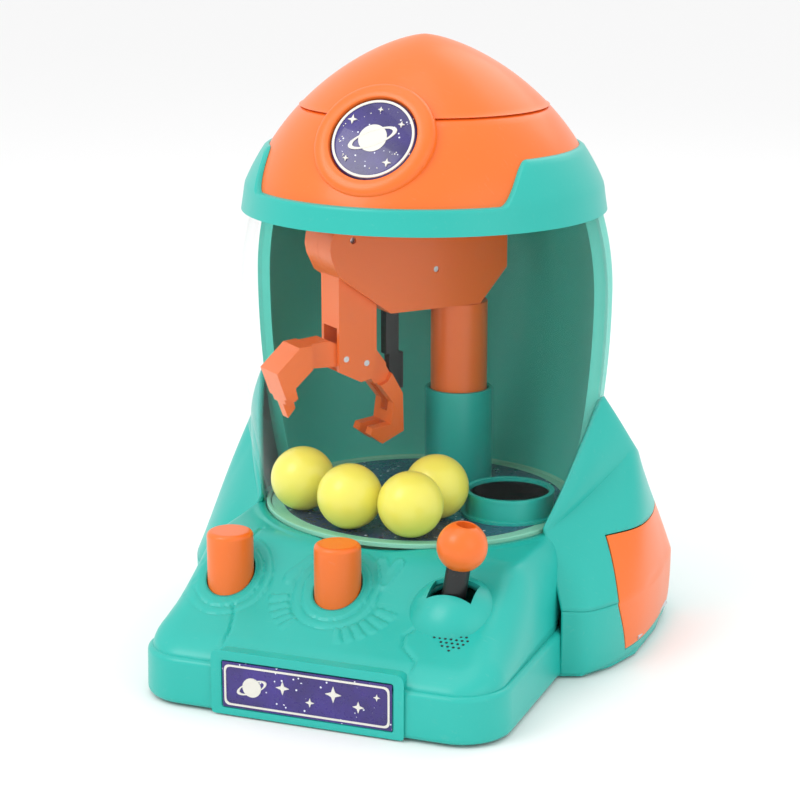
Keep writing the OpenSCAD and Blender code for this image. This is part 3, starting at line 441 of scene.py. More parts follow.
def refined(name, width, kind=None, slot=None, angle=30, segments=3):
    # a welded copy of a CAD node with its moulded edges rounded
    source = nodes[name]
    mesh = source.data.copy()
    mesh.name = name + "Moulded"
    bm = bmesh.new()
    bm.from_mesh(mesh)
    bmesh.ops.remove_doubles(bm, verts=bm.verts, dist=0.003 * mm)
    bmesh.ops.dissolve_limit(bm, angle_limit=math.radians(1.5), verts=bm.verts, edges=bm.edges)
    bm.to_mesh(mesh)
    bm.free()
    piece = bpy.data.objects.new(name + "Moulded", mesh)
    scene.collection.objects.link(piece)
    mesh.materials.clear()
    mesh.materials.append(finish[kind or look[name]])
    softEdges(piece, width, segments, angle)
    mesh.polygons.foreach_set("use_smooth", [True] * len(mesh.polygons))
    soft = piece.modifiers.new("faces", "WEIGHTED_NORMAL")
    soft.keep_sharp, soft.weight = True, 80
    return place(piece, bodyOf[name], slot or slotOf[look[name]], [name])


def cutBy(bm, y, z, ny, nz):
    # splits the mesh along a plane that runs parallel to the X axis
    bmesh.ops.bisect_plane(bm, geom=bm.verts[:] + bm.edges[:] + bm.faces[:], dist=0.0005 * mm,
                           plane_co=(0, y * mm, z * mm), plane_no=(0, ny, nz))


def insideOutline(p, outline):
    # true where the point lies within a convex outline given anticlockwise
    n = len(outline)
    return all((outline[(i + 1) % n][0] - a[0]) * (p[1] - a[1])
               - (outline[(i + 1) % n][1] - a[1]) * (p[0] - a[0]) >= -1e-6
               for i, a in enumerate(outline))


# console: one dense moulded skin
console = {"inset": 2.3, "corner": 16.5, "roll": 9.5, "ledge": 18, "skin": 2.2, "ring": 4.0, "step": 0.7,
           "panel": [(0, 21.4), (12.5, 25.9), (30, 33.2), (41, 40.2), (52, 48.2), (56, 50.4)]}
halfPlinth = 70.5
podStart = axisY - 42


def panelAt(y):
    s = y - frontY
    pts = console["panel"]
    if s <= pts[0][0]:
        return pts[0][1] + s * 0.36
    if s >= 60:
        return deckZ
    total = weight = 0
    for k in range(-4, 5):
        t = min(max(s + k * 1.3, 0), 60)
        z = deckZ
        for (s0, z0), (s1, z1) in zip(pts, pts[1:]):
            if s0 <= t <= s1:
                z = z0 + (z1 - z0) * (t - s0) / (s1 - s0)
        w = 5 - abs(k)
        total, weight = total + z * w, weight + w
    return total / weight


def rimDistance(x, y):
    # how far a point lies inside the outline of the console
    half, r = halfPlinth - console["inset"], console["corner"]
    front = frontY + console["inset"]
    side = half - abs(x)
    if y < front + r and side < r:
        return r - math.hypot(r - side, front + r - y)
    return min(side, y - front, backY - 1 - y)


def lineDistance(x, y, points):
    best = 1e9
    for (x0, y0), (x1, y1) in zip(points, points[1:]):
        dx, dy = x1 - x0, y1 - y0
        t = min(1, max(0, ((x - x0) * dx + (y - y0) * dy) / (dx * dx + dy * dy)))
        best = min(best, math.hypot(x - x0 - t * dx, y - y0 - t * dy))
    return best


seams = [[(-45, -34), (-45.2, -43), (-42, -46)], [(-40.5, -69.5), (-38, -76), (-36.5, -82), (-36.5, -95)],
         [(30.5, -69.5), (28.2, -73), (29.5, -78), (36.5, -84), (36.5, -95)]]
loops = [[(-23.9, -55.6), (-17.9, -48.8)], [(9.2, -46.5), (12.8, -53.4), (15.6, -46.0)]]


def fanBars(x, y, centre, r0, r1, a0, a1, count):
    # short raised bars that fan out round a button
    r = math.hypot(x - centre[0], (y - centre[1]) * 1.12)
    a = math.degrees(math.atan2(y - centre[1], x - centre[0]))
    t = (a - a0) / (a1 - a0)
    if not 0 <= t <= 1 or not r0 <= r <= r1:
        return 0
    rim = smooth(0, 0.5, r - r0) * smooth(0, 0.5, r1 - r) * smooth(0, 0.02, t) * smooth(0, 0.02, 1 - t)
    cell = (t * count) % 1
    return rim * (0.55 * smooth(0.1, 0.24, cell) * smooth(0.1, 0.24, 1 - cell) - 0.1)


def relief(x, y):
    dz = 0
    for cx in (liftKey[0], clawKey[0]):
        r = math.hypot(x - cx, y - ctrlY)
        wide = r + 0.9 * max(0, math.cos(math.atan2(y - ctrlY, x - cx) - 0.5))
        dz += 0.95 * smooth(13.6, 12.9, wide) + 0.4 * smooth(17.2, 16.5, wide) * smooth(13.4, 14.1, wide)
        dz -= 0.35 * math.exp(-((wide - 16.9) / 0.45) ** 2)
    for line in seams:
        dz -= 0.75 * math.exp(-(lineDistance(x, y, line) / 0.55) ** 2)
    for k, line in enumerate(loops):
        d = lineDistance(x, y, line)
        dz += 0.6 * smooth(2.6, 2.0, d) - (0.35 * smooth(1.6, 1.0, d) if k else 0)
    dz += fanBars(x, y, (clawKey[0], ctrlY - 1), 17.9, 25.5, -172, -124, 5)
    dz += fanBars(x, y, (clawKey[0], ctrlY - 1), 17.9, 26.5, -72, -10, 6)
    rimGap = math.hypot(x, y - axisY)
    dz += 0.5 * smooth(67.2, 66.4, rimGap) * smooth(60, 61, rimGap) * smooth(-40, -36, y)
    return dz


def consoleHeight(x, y):
    d = rimDistance(x, y)
    roll = console["roll"] if y < podStart + 30 else 3.0
    f = math.sqrt(max(0, 1 - (1 - min(1, max(0, d) / roll)) ** 2))
    base = console["ledge"] + 9 * smooth(podStart - 2, podStart + 14, y)
    rail = 0.9 * math.exp(-((abs(x) - halfPlinth + 14) / 3.6) ** 2) * smooth(-88, -70, y) * smooth(-34, -46, y)
    return base + (panelAt(y) + rail - base) * f + relief(x, y) * smooth(3, 7, d)


def makeConsole():
    half, r, front = halfPlinth - console["inset"], console["corner"], frontY + console["inset"]
    ys = [front + r * (1 - math.cos(math.pi / 2 * k / 26)) for k in range(27)]
    while ys[-1] < -24:
        ys.append(ys[-1] + console["step"])
    while ys[-1] < backY - 5:
        ys.append(ys[-1] + 1.6)
    ys += [backY - 1 - 3.0 * (1 - math.sin(math.pi / 2 * k / 6)) for k in range(7)]
    us = [1 - console["roll"] * (1 - math.cos(math.pi / 2 * k / 12)) / half for k in range(13)]
    while us[-1] > console["step"] / half:
        us.append(us[-1] - console["step"] / half)
    us = us + [0] + [-u for u in reversed(us)]
    rows = []
    for y in ys:
        width = half - r + math.sqrt(max(0, r * r - max(0, front + r - y) ** 2)) if y < front + r else half
        rows.append([(u * width, y, consoleHeight(u * width, y)) for u in us])
    verts, faces = loft(rows, False)
    mesh = bpy.data.meshes.new("consoleSkin")
    holes = [((liftKey[0], ctrlY), 9.1, 1), ((clawKey[0], ctrlY), 9.1, 1), ((0, axisY), 62.75, 1),
             ((41.2, ctrlY - 1.5), 11.5, 0.84)]
    punched = [list(v) for v in verts]
    for (cx, cy), radius, squeeze in holes:
        near = {i for i, v in enumerate(punched) if math.hypot(v[0] - cx, (v[1] - cy) / squeeze) < radius}
        faces = [f for f in faces if not any(i in near for i in f)]
        used = {}
        for f in faces:
            for i, j in zip(f, f[1:] + f[:1]):
                used[(min(i, j), max(i, j))] = used.get((min(i, j), max(i, j)), 0) + 1
        for (i, j), count in used.items():
            if count == 1:
                for k in (i, j):
                    v = punched[k]
                    d = math.hypot(v[0] - cx, (v[1] - cy) / squeeze)
                    if d < radius + 3.2 and rimDistance(v[0], v[1]) > 1.5:
                        v[0], v[1] = cx + (v[0] - cx) * radius / d, cy + (v[1] - cy) * radius / d
                        v[2] = consoleHeight(v[0], v[1])
    piece = makePiece("consoleSkin", punched, faces, finish["teal"], 30)
    wall(piece, console["skin"])
    place(piece, "base", "teal", ["console_shell"])
    # sleeves that line the two button wells
    for name, cx in (("liftKeyWell", liftKey[0]), ("clawKeyWell", clawKey[0])):
        rings = []
        for radius, drop in ((9.15, 9.0), (9.15, 0.1), (9.35, -0.25), (9.9, -0.3), (10.3, 0.6), (10.3, 9.0),
                             (9.15, 9.0)):
            rings.append([(cx + radius * math.cos(a), ctrlY + radius * math.sin(a),
                           consoleHeight(cx + 10.4 * math.cos(a), ctrlY + 10.4 * math.sin(a)) - drop)
                          for a in [2 * math.pi * k / 96 for k in range(96)]])
        place(makePiece(name, *loft(rings), finish["teal"]), "base", "teal")


makeConsole()
print("console moulded")

# plinth with its plate frame
rearWall = {"half": 43.5, "bottom": 0.9, "top": partingZ + 1.5, "skin": 2.2}
plinth = {"top": 18.6, "bottom": 0.8, "edge": 2.2, "skin": 2.2,
          "plate": (36.2, 1.4, 23.8), "window": (33.0, 3.1, 20.9)}


def plinthRing(inset, z, n=14):
    r = 19 - inset
    x, y = halfPlinth - inset, frontY + inset
    right = [(x - r + r * math.sin(math.pi / 2 * k / n), y + r - r * math.cos(math.pi / 2 * k / n), z)
             for k in range(n + 1)]
    right += [(x, y + r + (podStart + 8 - y - r) * k / 10, z) for k in range(1, 11)]
    return [(-a, b, c) for a, b, c in reversed(right)] + right


def makePlinth():
    p = plinth
    layers = [(p["edge"] * (1 - math.sin(t)) * 0.9, p["bottom"] + p["edge"] * (1 - math.cos(t)))
              for t in [math.pi / 2 * k / 5 for k in range(6)]]
    layers += [(0.25 * k / 5, p["bottom"] + p["edge"] + (p["top"] - p["bottom"] - 2 * p["edge"]) * k / 5)
               for k in range(1, 5)]
    layers += [(0.25 + p["edge"] * (1 - math.cos(t)), p["top"] - p["edge"] * (1 - math.sin(t)))
               for t in [math.pi / 2 * k / 6 for k in range(7)]]
    layers += [(4.0, p["top"] - 0.05), (4.2, p["top"] - 2.0)]
    verts, faces = loft([plinthRing(i, z) for i, z in layers], False)
    piece = wall(makePiece("plinthSkin", verts, faces, finish["teal"], 40), p["skin"] * 0.6)
    place(piece, "base", "teal", ["lower_housing"])
    b = rearWall
    outline = rounded([(-b["half"], b["bottom"]), (b["half"], b["bottom"]), (b["half"], b["top"]),
                       (-b["half"], b["top"])], 1.6, 4)
    verts, faces = prism(outline, lambda u, v, d: (u, backY - 0.2 - d, v), 0, b["skin"], 0.6)
    place(makePiece("rearWall", verts, faces, finish["teal"], 40), "base", "teal")
    # frame: an outer rounded rectangle with a rectangular opening for the plate
    outerX, z0, z1 = p["plate"]
    innerX, z2, z3 = p["window"]
    outer = rounded([(-outerX, z0), (outerX, z0), (outerX, z1), (-outerX, z1)], [1.5, 1.5, 3.4, 3.4], 6)
    inner = rounded([(-innerX, z2), (innerX, z2), (innerX, z3), (-innerX, z3)], [1.2] * 4, 6)
    rings = []
    for outline, grow, y in ((outer, 0, 6.0), (outer, 0, 0.5), (outer, -0.25, -0.35), (outer, -0.9, -0.8), (inner, 0.75, -0.8),
                             (inner, 0.2, -0.55), (inner, 0, 0.0), (inner, 0, 1.2)):
        cz = (z0 + z1) / 2
        rings.append([(x + math.copysign(grow, x), frontY + y, z + math.copysign(grow, z - cz)) for x, z in outline])
    verts, faces = loft(rings)
    n = len(outer)
    faces.append(tuple(len(verts) - n + i for i in range(n)))
    faces.append(tuple(range(n - 1, -1, -1)))
    place(makePiece("plateFrame", verts, faces, finish["teal"], 40), "base", "teal")


makePlinth()
print("plinth moulded")

# side pods
doorMid = axisY + 13
doorLine = [(doorMid - 31, 6.2), (doorMid + 31, 6.2), (doorMid + 38, 26), (doorMid + 27, 49),
            (doorMid - 27, 49), (doorMid - 38, 26)]
pod = {"skin": 2.0, "rows": 96, "parting": partingZ, "inset": 3.4, "bulge": 1.2}


def curve(points, n):
    # a smooth run through the points, spaced evenly in the parameter
    pts = [Vector(p) for p in points]
    pts = [pts[0] * 2 - pts[1]] + pts + [pts[-1] * 2 - pts[-2]]
    out = []
    spans = len(points) - 1
    for k in range(n + 1):
        s = min(k / n * spans, spans - 1e-6)
        i, t = int(s), s - int(s)
        a, b, c, d = pts[i:i + 4]
        out.append(0.5 * ((2 * b) + (c - a) * t + (2 * a - 5 * b + 4 * c - d) * t * t
                          + (3 * b - 3 * c + d - a) * t ** 3))
    return out


podCurves = {
    "inner": [(58.4, axisY - 27.1, 53.5), (62.8, axisY - 18.6, 66), (68.0, axisY - 7.4, 84), (71.6, axisY + 4.6, 98.4),
              (71.4, axisY + 11, 90), (69.6, axisY + 20, 78), (61.5, axisY + 40, 62), (46, axisY + 58, 53.6)],
    "ridge": [(59.4, axisY - 27.6, 51.6), (67.0, axisY - 14.5, 58.5), (74.6, axisY, 67.0), (81.4, axisY + 14.6, 75.4),
              (80.5, axisY + 28, 70.0), (74.0, axisY + 45, 60.0), (60, axisY + 62, 53.0), (40, axisY + 72, 50.6)],
    "waist": [(70.6, axisY - 42, partingZ), (80.6, axisY - 38.0, partingZ), (88.6, axisY - 23.4, partingZ),
              (92.9, axisY - 4, partingZ), (92.9, axisY + 24, partingZ), (88.6, axisY + 50, partingZ),
              (72, axisY + 67.5, partingZ), (41, axisY + 74.6, partingZ)],
}


def podPoint(curves, i, v, side):
    # v runs 0-1 over the fin face, 1-2 down the flank and 2-3 under the bowl
    inner, ridge, waist = (c[i] for c in curves)
    if v <= 1:
        p = (inner.lerp(ridge, v) + Vector((0.8, -0.5, 0.3)) * 1.6 * math.sin(math.pi * v)
             * math.sin(math.pi * min(1, i / 50)))
    elif v <= 2:
        t = v - 1
        p = (ridge.lerp(waist, t) + Vector((1, 0, 0.25)) * pod["bulge"] * math.sin(math.pi * t)
             * math.sin(math.pi * i / pod["rows"]) ** 0.6)
        p.x = min(p.x, podX - 0.1)
    else:
        t = (v - 2) * 0.998
        inset = pod["inset"] * smooth(-0.02, 0.3, i / pod["rows"]) + 1
        pull = inset * (1 - (1 - t ** 2.6) ** (1 / 2.6))
        middle = Vector((52, axisY + 14, 0))
        away = (Vector((waist.x, waist.y, 0)) - middle)
        p = Vector((waist.x, waist.y, 0)) - away.normalized() * pull
        p.z = partingZ - (partingZ - 0.9) * t
    return (p.x * side, p.y, p.z)


def podSheet(v0, v1, count, side, first=0, last=None):
    curves = [curve(podCurves[k], pod["rows"]) for k in ("inner", "ridge", "waist")]
    last = pod["rows"] if last is None else last
    rows = []
    for k in range(count + 1):
        v = v0 + (v1 - v0) * k / count
        rows.append([podPoint(curves, i, v, side) for i in range(first, last + 1)])
    return loft(rows, False)


def splitByDoor(piece, grow, keepInside):
    outline = []
    n = len(doorLine)
    for i, p in enumerate(doorLine):
        a, b, c = Vector(doorLine[i - 1]), Vector(p), Vector(doorLine[(i + 1) % n])
        n1, n2 = Vector(((b - a).y, -(b - a).x)).normalized(), Vector(((c - b).y, -(c - b).x)).normalized()
        outline.append(tuple(b + (n1 + n2) * grow / (1 + n1.dot(n2))))
    bm = bmesh.new()
    bm.from_mesh(piece.data)
    for i, a in enumerate(outline):
        b = outline[(i + 1) % n]
        cutBy(bm, a[0], a[1], b[1] - a[1], a[0] - b[0])
    doomed = [f for f in bm.faces if insideOutline((f.calc_center_median().y / mm, f.calc_center_median().z / mm), outline)
              and f.calc_center_median().x / mm > 76]
    if keepInside:
        doomed = [f for f in bm.faces if f not in set(doomed)]
    bmesh.ops.delete(bm, geom=doomed, context="FACES")
    bm.to_mesh(piece.data)
    bm.free()
    return piece


def makePods():
    for side, tag in ((1, "right"), (-1, "left")):
        cover = makePiece(tag + "PodCover", *podSheet(0, 2, 44, side), finish["teal"], 24)
        bowl = makePiece(tag + "PodBowl", *podSheet(2.012, 3, 22, side), finish["teal"], 30)
        if side > 0:
            splitByDoor(cover, 0.45, False)
            splitByDoor(bowl, 0.45, False)
        for piece in (cover, bowl):
            wall(piece, pod["skin"])
        place(cover, "base", "teal", [tag + "_pod_cover"])
        place(bowl, "base", "teal")
    verts, faces = podSheet(1, 2, 26, 1)
    lowVerts, lowFaces = podSheet(2, 3, 22, 1)
    door = makePiece("doorPanel", *joined((verts, faces), (lowVerts, lowFaces)), finish["orange"], 30)
    splitByDoor(door, 0, True)
    wall(door, pod["skin"])
    softEdges(door, 0.5, 2, 50)
    place(door, "door", "orange", ["prize_door"])


makePods()
print("pods and door lofted")

# chamber, collar and nose
chamber = {"wall": 1.8, "split": 4, "lip": 2.6}
splitAngle = math.degrees(math.asin(chamber["split"] / chamberCurve["belly"]))


def shellGrid(outer, inner, angles, z0, z1, n):
    # closed shell between two radii that follow the height
    rows = []
    for k in range(n + 1):
        z = z0 + (z1 - z0) * k / n
        rows.append([(outer(z) * math.cos(a), axisY + outer(z) * math.sin(a), z) for a in angles])
    back = []
    for k in range(n + 1):
        z = z1 + (z0 - z1) * k / n
        back.append([(inner(z) * math.cos(a), axisY + inner(z) * math.sin(a), z) for a in angles])
    rings = rows + back
    verts, faces = loft(rings + [rings[0]], False)
    m = len(angles)
    ends = []
    for col in (0, m - 1):
        strip = [k * m + col for k in range(len(rings))]
        for k in range(n):
            quad = (strip[k], strip[k + 1], strip[2 * n - k], strip[2 * n + 1 - k])
            ends.append(quad if col else quad[::-1])
    return verts, faces + ends


def makeChamber():
    c = chamber
    front = [math.radians(-180 - splitAngle + (180 + 2 * splitAngle) * k / 120) for k in range(121)]
    rear = [math.radians(splitAngle + 0.2 + (180 - 2 * splitAngle - 0.4) * k / 110) for k in range(111)]
    outer, inner = chamberAt, lambda z: chamberAt(z) - c["wall"]
    glass = makePiece("clearWindow", *shellGrid(outer, inner, front, deckZ + 0.1, collarZ + 3.5, 48),
                      finish["clear"], 40)
    place(glass, "base", "clear", ["window"])
    # folded flange along each upright edge of the window, and the rib it sits against
    for side in (-1, 1):
        a = math.radians(splitAngle) if side > 0 else math.radians(180 - splitAngle)
        clearStrip = [a - side * math.radians(d) for d in (0.1, 1.2, 2.4, 3.6)]
        flange = makePiece("windowFlange" + ("Right" if side > 0 else "Left"),
                           *shellGrid(lambda z: chamberAt(z) + 0.75, lambda z: chamberAt(z) + 0.02,
                                      sorted(clearStrip), deckZ + 3, collarZ - 0.5, 40),
                           finish["clear"], 40)
        place(flange, "base", "clear")
        # the rib takes the teal copy painted lighter for the shade inside the chamber
        ribStrip = [a + side * math.radians(d) for d in (0.25, 1.6)]
        rib = makePiece("shellRib" + ("Right" if side > 0 else "Left"),
                        *shellGrid(lambda z: chamberAt(z) - 1.75, lambda z: chamberAt(z) - 5.4,
                                   sorted(ribStrip), deckZ + 1.6, collarZ + 3, 40),
                        finish["tealPaintedLighter"], 40)
        place(rib, "base", "teal")
    # the rear shell takes the teal copy painted lighter for the shade inside the chamber
    back = makePiece("rearShellSkin", *shellGrid(outer, inner, rear, deckZ + 0.1, collarZ + 3.5, 48),
                     finish["tealPaintedLighter"], 40)
    place(back, "base", "teal", ["rear_shell"])
    # foot band of the window and the pale rim of the play floor
    foot = [(60.6, deckZ + 0.2), (60.6, deckZ + 1.5), (60.9, deckZ + 1.9), (61.9, deckZ + 1.9),
            (62.2, deckZ + 1.6), (62.2, deckZ + 0.2), (60.6, deckZ + 0.2)]
    place(makePiece("floorRim", *revolve(foot, (0, axisY), 160), finish["mint"], 40), "base", "mint")


makeChamber()
print("chamber turned")

collar = {"low": collarZ + 9.5, "shoulder": collarZ + 24.5, "notchLow": 47.5, "notchTop": 57, "proud": 2.6,
          "seam": collarZ + 39}


def collarTop(a):
    # height of the upper edge at an angle: low in front, at the shoulder elsewhere
    if math.sin(a) > -0.2:
        return collar["shoulder"]
    x = abs(noseAt(collar["low"]) + 2) * abs(math.cos(a))
    return collar["low"] + (collar["shoulder"] - collar["low"]) * smooth(
        0, 1, (x - collar["notchLow"]) / (collar["notchTop"] + 1.5 - collar["notchLow"]))


def collarOuter(z):
    if z < collar["low"]:
        t = (z - collarZ) / (collar["low"] - collarZ)
        start = chamberAt(collarZ) + 2.3
        return start + (noseAt(collar["low"]) + collar["proud"] - start) * (1 - (1 - t) ** 1.15)
    return noseAt(z) + collar["proud"] - 0.9 * (z - collar["low"]) / 15


def makeCollar():
    edge = math.acos(collar["notchLow"] / (noseAt(collar["low"]) + 2))
    edge2 = math.acos(min(1, (collar["notchTop"] + 1.5) / (noseAt(collar["low"]) + 2)))
    angles = [2 * math.pi * k / 180 for k in range(180)]
    for base in (edge, edge2):
        for k in range(-6, 7):
            angles += [-base + k * 0.008, -math.pi + base + k * 0.008]
    angles = sorted(set(round(a % (2 * math.pi), 5) for a in angles))
    rings = []
    for a in angles:
        top = collarTop(a)
        ring = []
        for k in range(15):
            z = collarZ + (top - 0.9 - collarZ) * k / 14
            ring.append((collarOuter(z), z))
        ring += [(collarOuter(top) - 0.25, top - 0.3), (collarOuter(top) - 0.9, top)]
        ring += [(noseAt(top) + 0.15, top), (noseAt(top - 3) + 0.1, top - 3)]
        ring += [(min(chamberAt(collarZ) + 0.25, noseAt(collar["low"])), collarZ + 4.4), (chamberAt(collarZ) + 0.3, collarZ + 4.2),
                 (chamberAt(collarZ) + 0.3, collarZ + 0.4), (chamberAt(collarZ) + 0.9, collarZ)]
        rings.append([(r * math.cos(a), axisY + r * math.sin(a), z) for r, z in ring])
    verts, faces = loft(rings + [rings[0]])
    piece = makePiece("collarBand", verts, faces, finish["teal"], 28)
    place(piece, "base", "teal", ["collar"])


badge = {"tilt": 55.3, "out": 62, "ring": 23, "disc": 16.2}
badgeFrame = (Matrix.Translation((0, axisY, collarZ - 4.3)) @ Matrix.Rotation(math.radians(badge["tilt"]), 4, "X")
              @ Matrix.Translation((0, 0, badge["out"])))


def tilted(verts):
    return [tuple(badgeFrame @ Vector(v)) for v in verts]


def boreBadge(piece):
    # the boss of the badge goes through a round hole in the nose
    verts, faces = revolve([(0, -30), (badge["ring"] - 0.4, -30), (badge["ring"] - 0.4, 30), (0, 30)], (0, 0), 96)
    cutter = makePiece("cutter", tilted(verts), faces, finish["orange"])
    hole = piece.modifiers.new("hole", "BOOLEAN")
    hole.operation, hole.object, hole.solver = "DIFFERENCE", cutter, "EXACT"
    bpy.context.view_layer.update()
    mesh = bpy.data.meshes.new_from_object(piece.evaluated_get(bpy.context.evaluated_depsgraph_get()))
    piece.modifiers.remove(hole)
    mesh.name = piece.name
    piece.data = mesh
    mesh.set_sharp_from_angle(angle=math.radians(30))
    bpy.data.objects.remove(cutter)


def makeNose():
    low, seam, top = collar["low"] - 2, collar["seam"], noseTop
    cone = [(noseAt(low + (seam - 0.9 - low) * k / 16), low + (seam - 0.9 - low) * k / 16) for k in range(17)]
    cone += [(noseAt(seam) - 0.35, seam - 0.35), (noseAt(seam) - 1.2, seam - 0.1), (noseAt(seam) - 2.2, seam - 0.3)]
    cone += [(noseAt(low + (seam - 1 - low) * k / 16) - 2.1, low + (seam - 1 - low) * k / 16) for k in range(16, -1, -1)]
    cap = []
    for k in range(33):
        t = math.sin(math.pi / 2 * k / 32)
        z = seam + 0.7 + (top - seam - 0.7) * t
        cap.append((noseAt(min(z, top + 0.04)) if k < 32 else 0, z))
    inside = [(max(0, r - 2.1), z - 2.1 * (i / 32)) for i, (r, z) in enumerate(cap)]
    cap = [(noseAt(seam) - 2.0, seam + 0.1), (noseAt(seam) - 0.5, seam + 0.12), (noseAt(seam) + 0.1, seam + 0.4)] + cap
    cap = cap[:-1] + [(0, top)] + [(0, top - 2.1)] + [p for p in reversed(inside[:-1])]
    for name, profile, node in (("noseConeSkin", cone, "nose_cone"), ("noseCapSkin", cap, "nose_cap")):
        piece = makePiece(name, *revolve(profile + [profile[0]], (0, axisY), 160), finish["orange"], 30)
        boreBadge(piece)
        place(piece, "base", "orange", [node])


makeCollar()
makeNose()
print("collar and nose turned")

# badge
def makeBadge():
    ring = [(23, -6.5), (23, 0.6), (22.75, 1.5), (22.1, 2.3), (21.0, 2.9), (19.2, 3.2), (17.4, 3.2), (16.9, 3.0),
            (16.65, 2.4), (16.6, 1.0), (16.4, 0.2), (16.4, -6.5)]
    verts, faces = revolve(ring + [ring[0]], (0, 0), 128)
    place(makePiece("badgeBoss", tilted(verts), faces, finish["orange"], 35), "base", "orange", ["badge_ring"])
    disc = [(0, 2.9), (8, 2.75), (14, 2.3), (15.7, 2.0), (16.2, 1.6), (16.3, 0.6), (0, 0.6)]
    verts, faces = revolve(disc, (0, 0), 96)
    place(makePiece("badgeFilm", tilted(verts), faces, finish["badgeFilm"], 40), "base", "sticker", ["badge_disc"])


makeBadge()
print("badge set")


# details that repeat are instanced by node trees, then kept as plain meshes
def newTree(name, inputs):
    tree = bpy.data.node_groups.new(name, "GeometryNodeTree")
    tree.interface.new_socket("Geometry", in_out="OUTPUT", socket_type="NodeSocketGeometry")
    tree.interface.new_socket("Places", in_out="INPUT", socket_type="NodeSocketGeometry")
    keys = {}
    for label, kind in inputs:
        keys[label] = tree.interface.new_socket(label, in_out="INPUT", socket_type=kind).identifier
    return tree, keys


def addNode(tree, kind, settings=None, links=None):
    n = tree.nodes.new(kind)
    for key, v in (settings or {}).items():
        setattr(n, key, v)
    for key, v in (links or {}).items():
        if isinstance(v, bpy.types.NodeSocket):
            tree.links.new(v, n.inputs[key])
        else:
            n.inputs[key].default_value = v
    return n


def studTree():
    # a round stud with a domed crown at each place, its size varied a little by a fixed seed
    tree, keys = newTree("studPattern", [("Radius", "NodeSocketFloat"), ("Height", "NodeSocketFloat"),
                                         ("Variation", "NodeSocketFloat"), ("Seed", "NodeSocketInt"),
                                         ("Material", "NodeSocketMaterial")])
    source = addNode(tree, "NodeGroupInput").outputs
    crown = addNode(tree, "GeometryNodeMeshUVSphere", None, {"Segments": 20, "Rings": 10, "Radius": source["Radius"]})
    flat = addNode(tree, "ShaderNodeMath", {"operation": "DIVIDE"}, {0: source["Height"], 1: source["Radius"]})
    squash = addNode(tree, "ShaderNodeCombineXYZ", None, {"X": 1.0, "Y": 1.0, "Z": flat.outputs[0]})
    shaped = addNode(tree, "GeometryNodeTransform", None, {"Geometry": crown.outputs["Mesh"], "Scale": squash.outputs[0]})
    least = addNode(tree, "ShaderNodeMath", {"operation": "SUBTRACT"}, {0: 1.0, 1: source["Variation"]})
    vary = addNode(tree, "FunctionNodeRandomValue", None, {"Seed": source["Seed"]})
    tree.links.new(least.outputs[0], vary.inputs[2])
    vary.inputs[3].default_value = 1.0
    copies = addNode(tree, "GeometryNodeInstanceOnPoints", None,
                     {"Points": source["Places"], "Instance": shaped.outputs[0], "Scale": vary.outputs[1]})
    plain = addNode(tree, "GeometryNodeRealizeInstances", None, {"Geometry": copies.outputs[0]})
    dressed = addNode(tree, "GeometryNodeSetMaterial", None, {"Geometry": plain.outputs[0], "Material": source["Material"]})
    tree.links.new(dressed.outputs[0], addNode(tree, "NodeGroupOutput").inputs[0])
    return tree, keys


studs = studTree()


def studded(name, points, radius, height, variation, seed, kind, body, slot, turn=None):
    # studs at the points; turn carries them from a flat drawing to where they sit
    mesh = bpy.data.meshes.new(name + "Places")
    mesh.from_pydata([Vector(q) * mm for q in points], [], [])
    carrier = bpy.data.objects.new(name + "Places", mesh)
    scene.collection.objects.link(carrier)
    tree, keys = studs
    pattern = carrier.modifiers.new("pattern", "NODES")
    pattern.node_group = tree
    for label, v in (("Radius", radius * mm), ("Height", height * mm), ("Variation", variation), ("Seed", seed),
                     ("Material", finish[kind])):
        pattern[keys[label]] = v
    bpy.context.view_layer.update()
    mesh = bpy.data.meshes.new_from_object(carrier.evaluated_get(bpy.context.evaluated_depsgraph_get()))
    bpy.data.objects.remove(carrier)
    mesh.name = name
    if turn:
        move = Matrix.Scale(mm, 4) @ turn @ Matrix.Scale(1 / mm, 4)
        mesh.transform(move)
    mesh.polygons.foreach_set("use_smooth", [True] * len(mesh.polygons))
    piece = bpy.data.objects.new(name, mesh)
    scene.collection.objects.link(piece)
    return place(piece, body, slot)


def starOutline(cx, cy, r, points=4, waist=0.36):
    out = []
    for k in range(points * 2):
        a = math.pi * k / points + math.pi / 2
        q = r if k % 2 == 0 else r * waist
        out.append((cx + q * math.cos(a), cy + q * math.sin(a)))
    return out


def ringedPlanet(r, tilt=0.42):
    # a planet with a band round it, drawn flat and centred
    ball = [(r * math.cos(2 * math.pi * k / 48), r * math.sin(2 * math.pi * k / 48)) for k in range(48)]
    verts = []
    for k in range(72):
        a = 2 * math.pi * k / 72
        for q in (1.75, 1.45):
            x, y = r * q * math.cos(a), r * q * 0.34 * math.sin(a)
            verts.append((x * math.cos(tilt) - y * math.sin(tilt), x * math.sin(tilt) + y * math.cos(tilt)))
    return ball, verts


def flatPlate(outline, low, high):
    n = len(outline)
    verts = [(x, y, low) for x, y in outline] + [(x, y, high) for x, y in outline]
    faces = [tuple(range(n - 1, -1, -1)), tuple(range(n, 2 * n))]
    faces += [(i, (i + 1) % n, n + (i + 1) % n, n + i) for i in range(n)]
    return verts, faces


def flatBand(outer, inner, low, high):
    rings = [[(x, y, z) for x, y in line] for line, z in ((outer, low), (outer, high), (inner, high), (inner, low))]
    return loft(rings + [rings[0]])


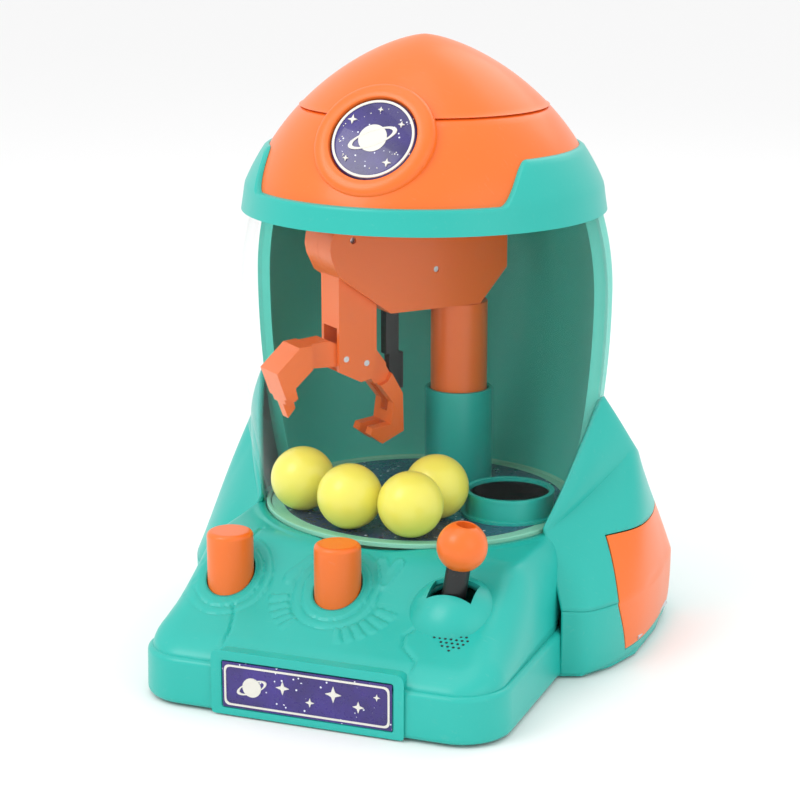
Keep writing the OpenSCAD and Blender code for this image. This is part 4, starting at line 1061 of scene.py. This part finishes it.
def makeMotifs():
    # badge: a thin white border, a ringed planet and stars, all on the film
    circle = lambda r, n=96: [(r * math.cos(2 * math.pi * k / n), r * math.sin(2 * math.pi * k / n)) for k in range(n)]
    ball, band = ringedPlanet(5.4)
    shapes = [flatBand(circle(15.6), circle(14.7), 1.9, 2.55), flatPlate(ball, 2.5, 3.05),
              flatBand(band[0::2], band[1::2], 2.45, 3.15)]
    shapes += [flatPlate(starOutline(x, y, r), 2.3, 3.0) for x, y, r in
               ((-9.4, 7.2, 1.9), (9.8, 6.0, 1.3), (-8.6, -8.4, 1.2), (7.4, -9.4, 1.7), (0.6, 11.6, 1.1))]
    verts, faces = joined(*shapes)
    place(makePiece("badgeMotif", tilted(verts), faces, finish["white"], 30), "base", "sticker")
    # plate: a rounded white border, a ringed planet at the left and stars along the film
    innerX, z2, z3 = plinth["window"]
    cz = (z2 + z3) / 2
    outline = lambda g: rounded([(-innerX + g, z2 + g), (innerX - g, z2 + g), (innerX - g, z3 - g),
                                 (-innerX + g, z3 - g)], 2.2, 6)
    ball, band = ringedPlanet(3.6)
    shift = lambda line, x: [(u + x, v + cz) for u, v in line]
    shapes = [flatBand(outline(1.2), outline(1.9), 0.0, 0.32), flatPlate(shift(ball, -21), 0.0, 0.34),
              flatBand(shift(band[0::2], -21), shift(band[1::2], -21), 0.0, 0.4)]
    shapes += [flatPlate(starOutline(x, cz + dz, r), 0.0, 0.34) for x, dz, r in
               ((-9, 1.6, 2.6), (1.5, -2.4, 1.7), (10.5, 2.0, 3.1), (20, -1.4, 2.2), (27, 3.2, 1.3))]
    verts, faces = joined(*shapes)
    face = plateY - 0.02
    verts = [(u, face - d, v) for u, v, d in verts]
    place(makePiece("plateMotif", verts, faces, finish["white"], 30), "base", "sticker")
    # fine studs: black studs on the panel painted in for the shade in the speaker grille's holes, and pin stars on the
    # badge
    grille = []
    for row in range(5):
        for column in range(7):
            x, y = 38.2 + column * 2.1 + (row % 2) * 1.05, -77.4 + row * 1.75
            if insideOutline((x, y), [(38.0, -71.8), (46.6, -78.6), (53.4, -74.4), (51.6, -69.6)]):
                grille.append((x, y, consoleHeight(x, y) + 0.02))
    # black studs painted where the grille's holes show only shade
    studded("panelGrille", grille, 0.55, 0.3, 0.0, 1, "black", "base", "black")
    draw = random.Random(7)
    pins = []
    while len(pins) < 26:
        x, y = draw.uniform(-13.5, 13.5), draw.uniform(-13.5, 13.5)
        if 7.0 < math.hypot(x, y) < 13.4:
            pins.append((x, y, 2.45))
    studded("badgeStars", pins, 0.3, 0.22, 0.5, 3, "white", "base", "sticker", badgeFrame)


makeMotifs()
print("motifs and studs set")

# CAD nodes with their moulded edges rounded
for name, width in {"column_sleeve": 0.5, "prize_cup": 0.45, "play_floor": 0.3, "column_tube": 0.4, "arm_left_shell": 1.2,
                    "arm_right_shell": 1.2, "claw_hanger": 0.8, "outer_finger": 0.7, "inner_finger": 0.7, "claw_rod": 0.4,
                    "lift_button": 0.3, "claw_button": 0.3, "joystick_boot": 0.5, "joystick_stem": 0.2, "joystick_knob": 0.4,
                    "base_plate": 0.3}.items():
    refined(name, width)
print("moulded edges rounded")
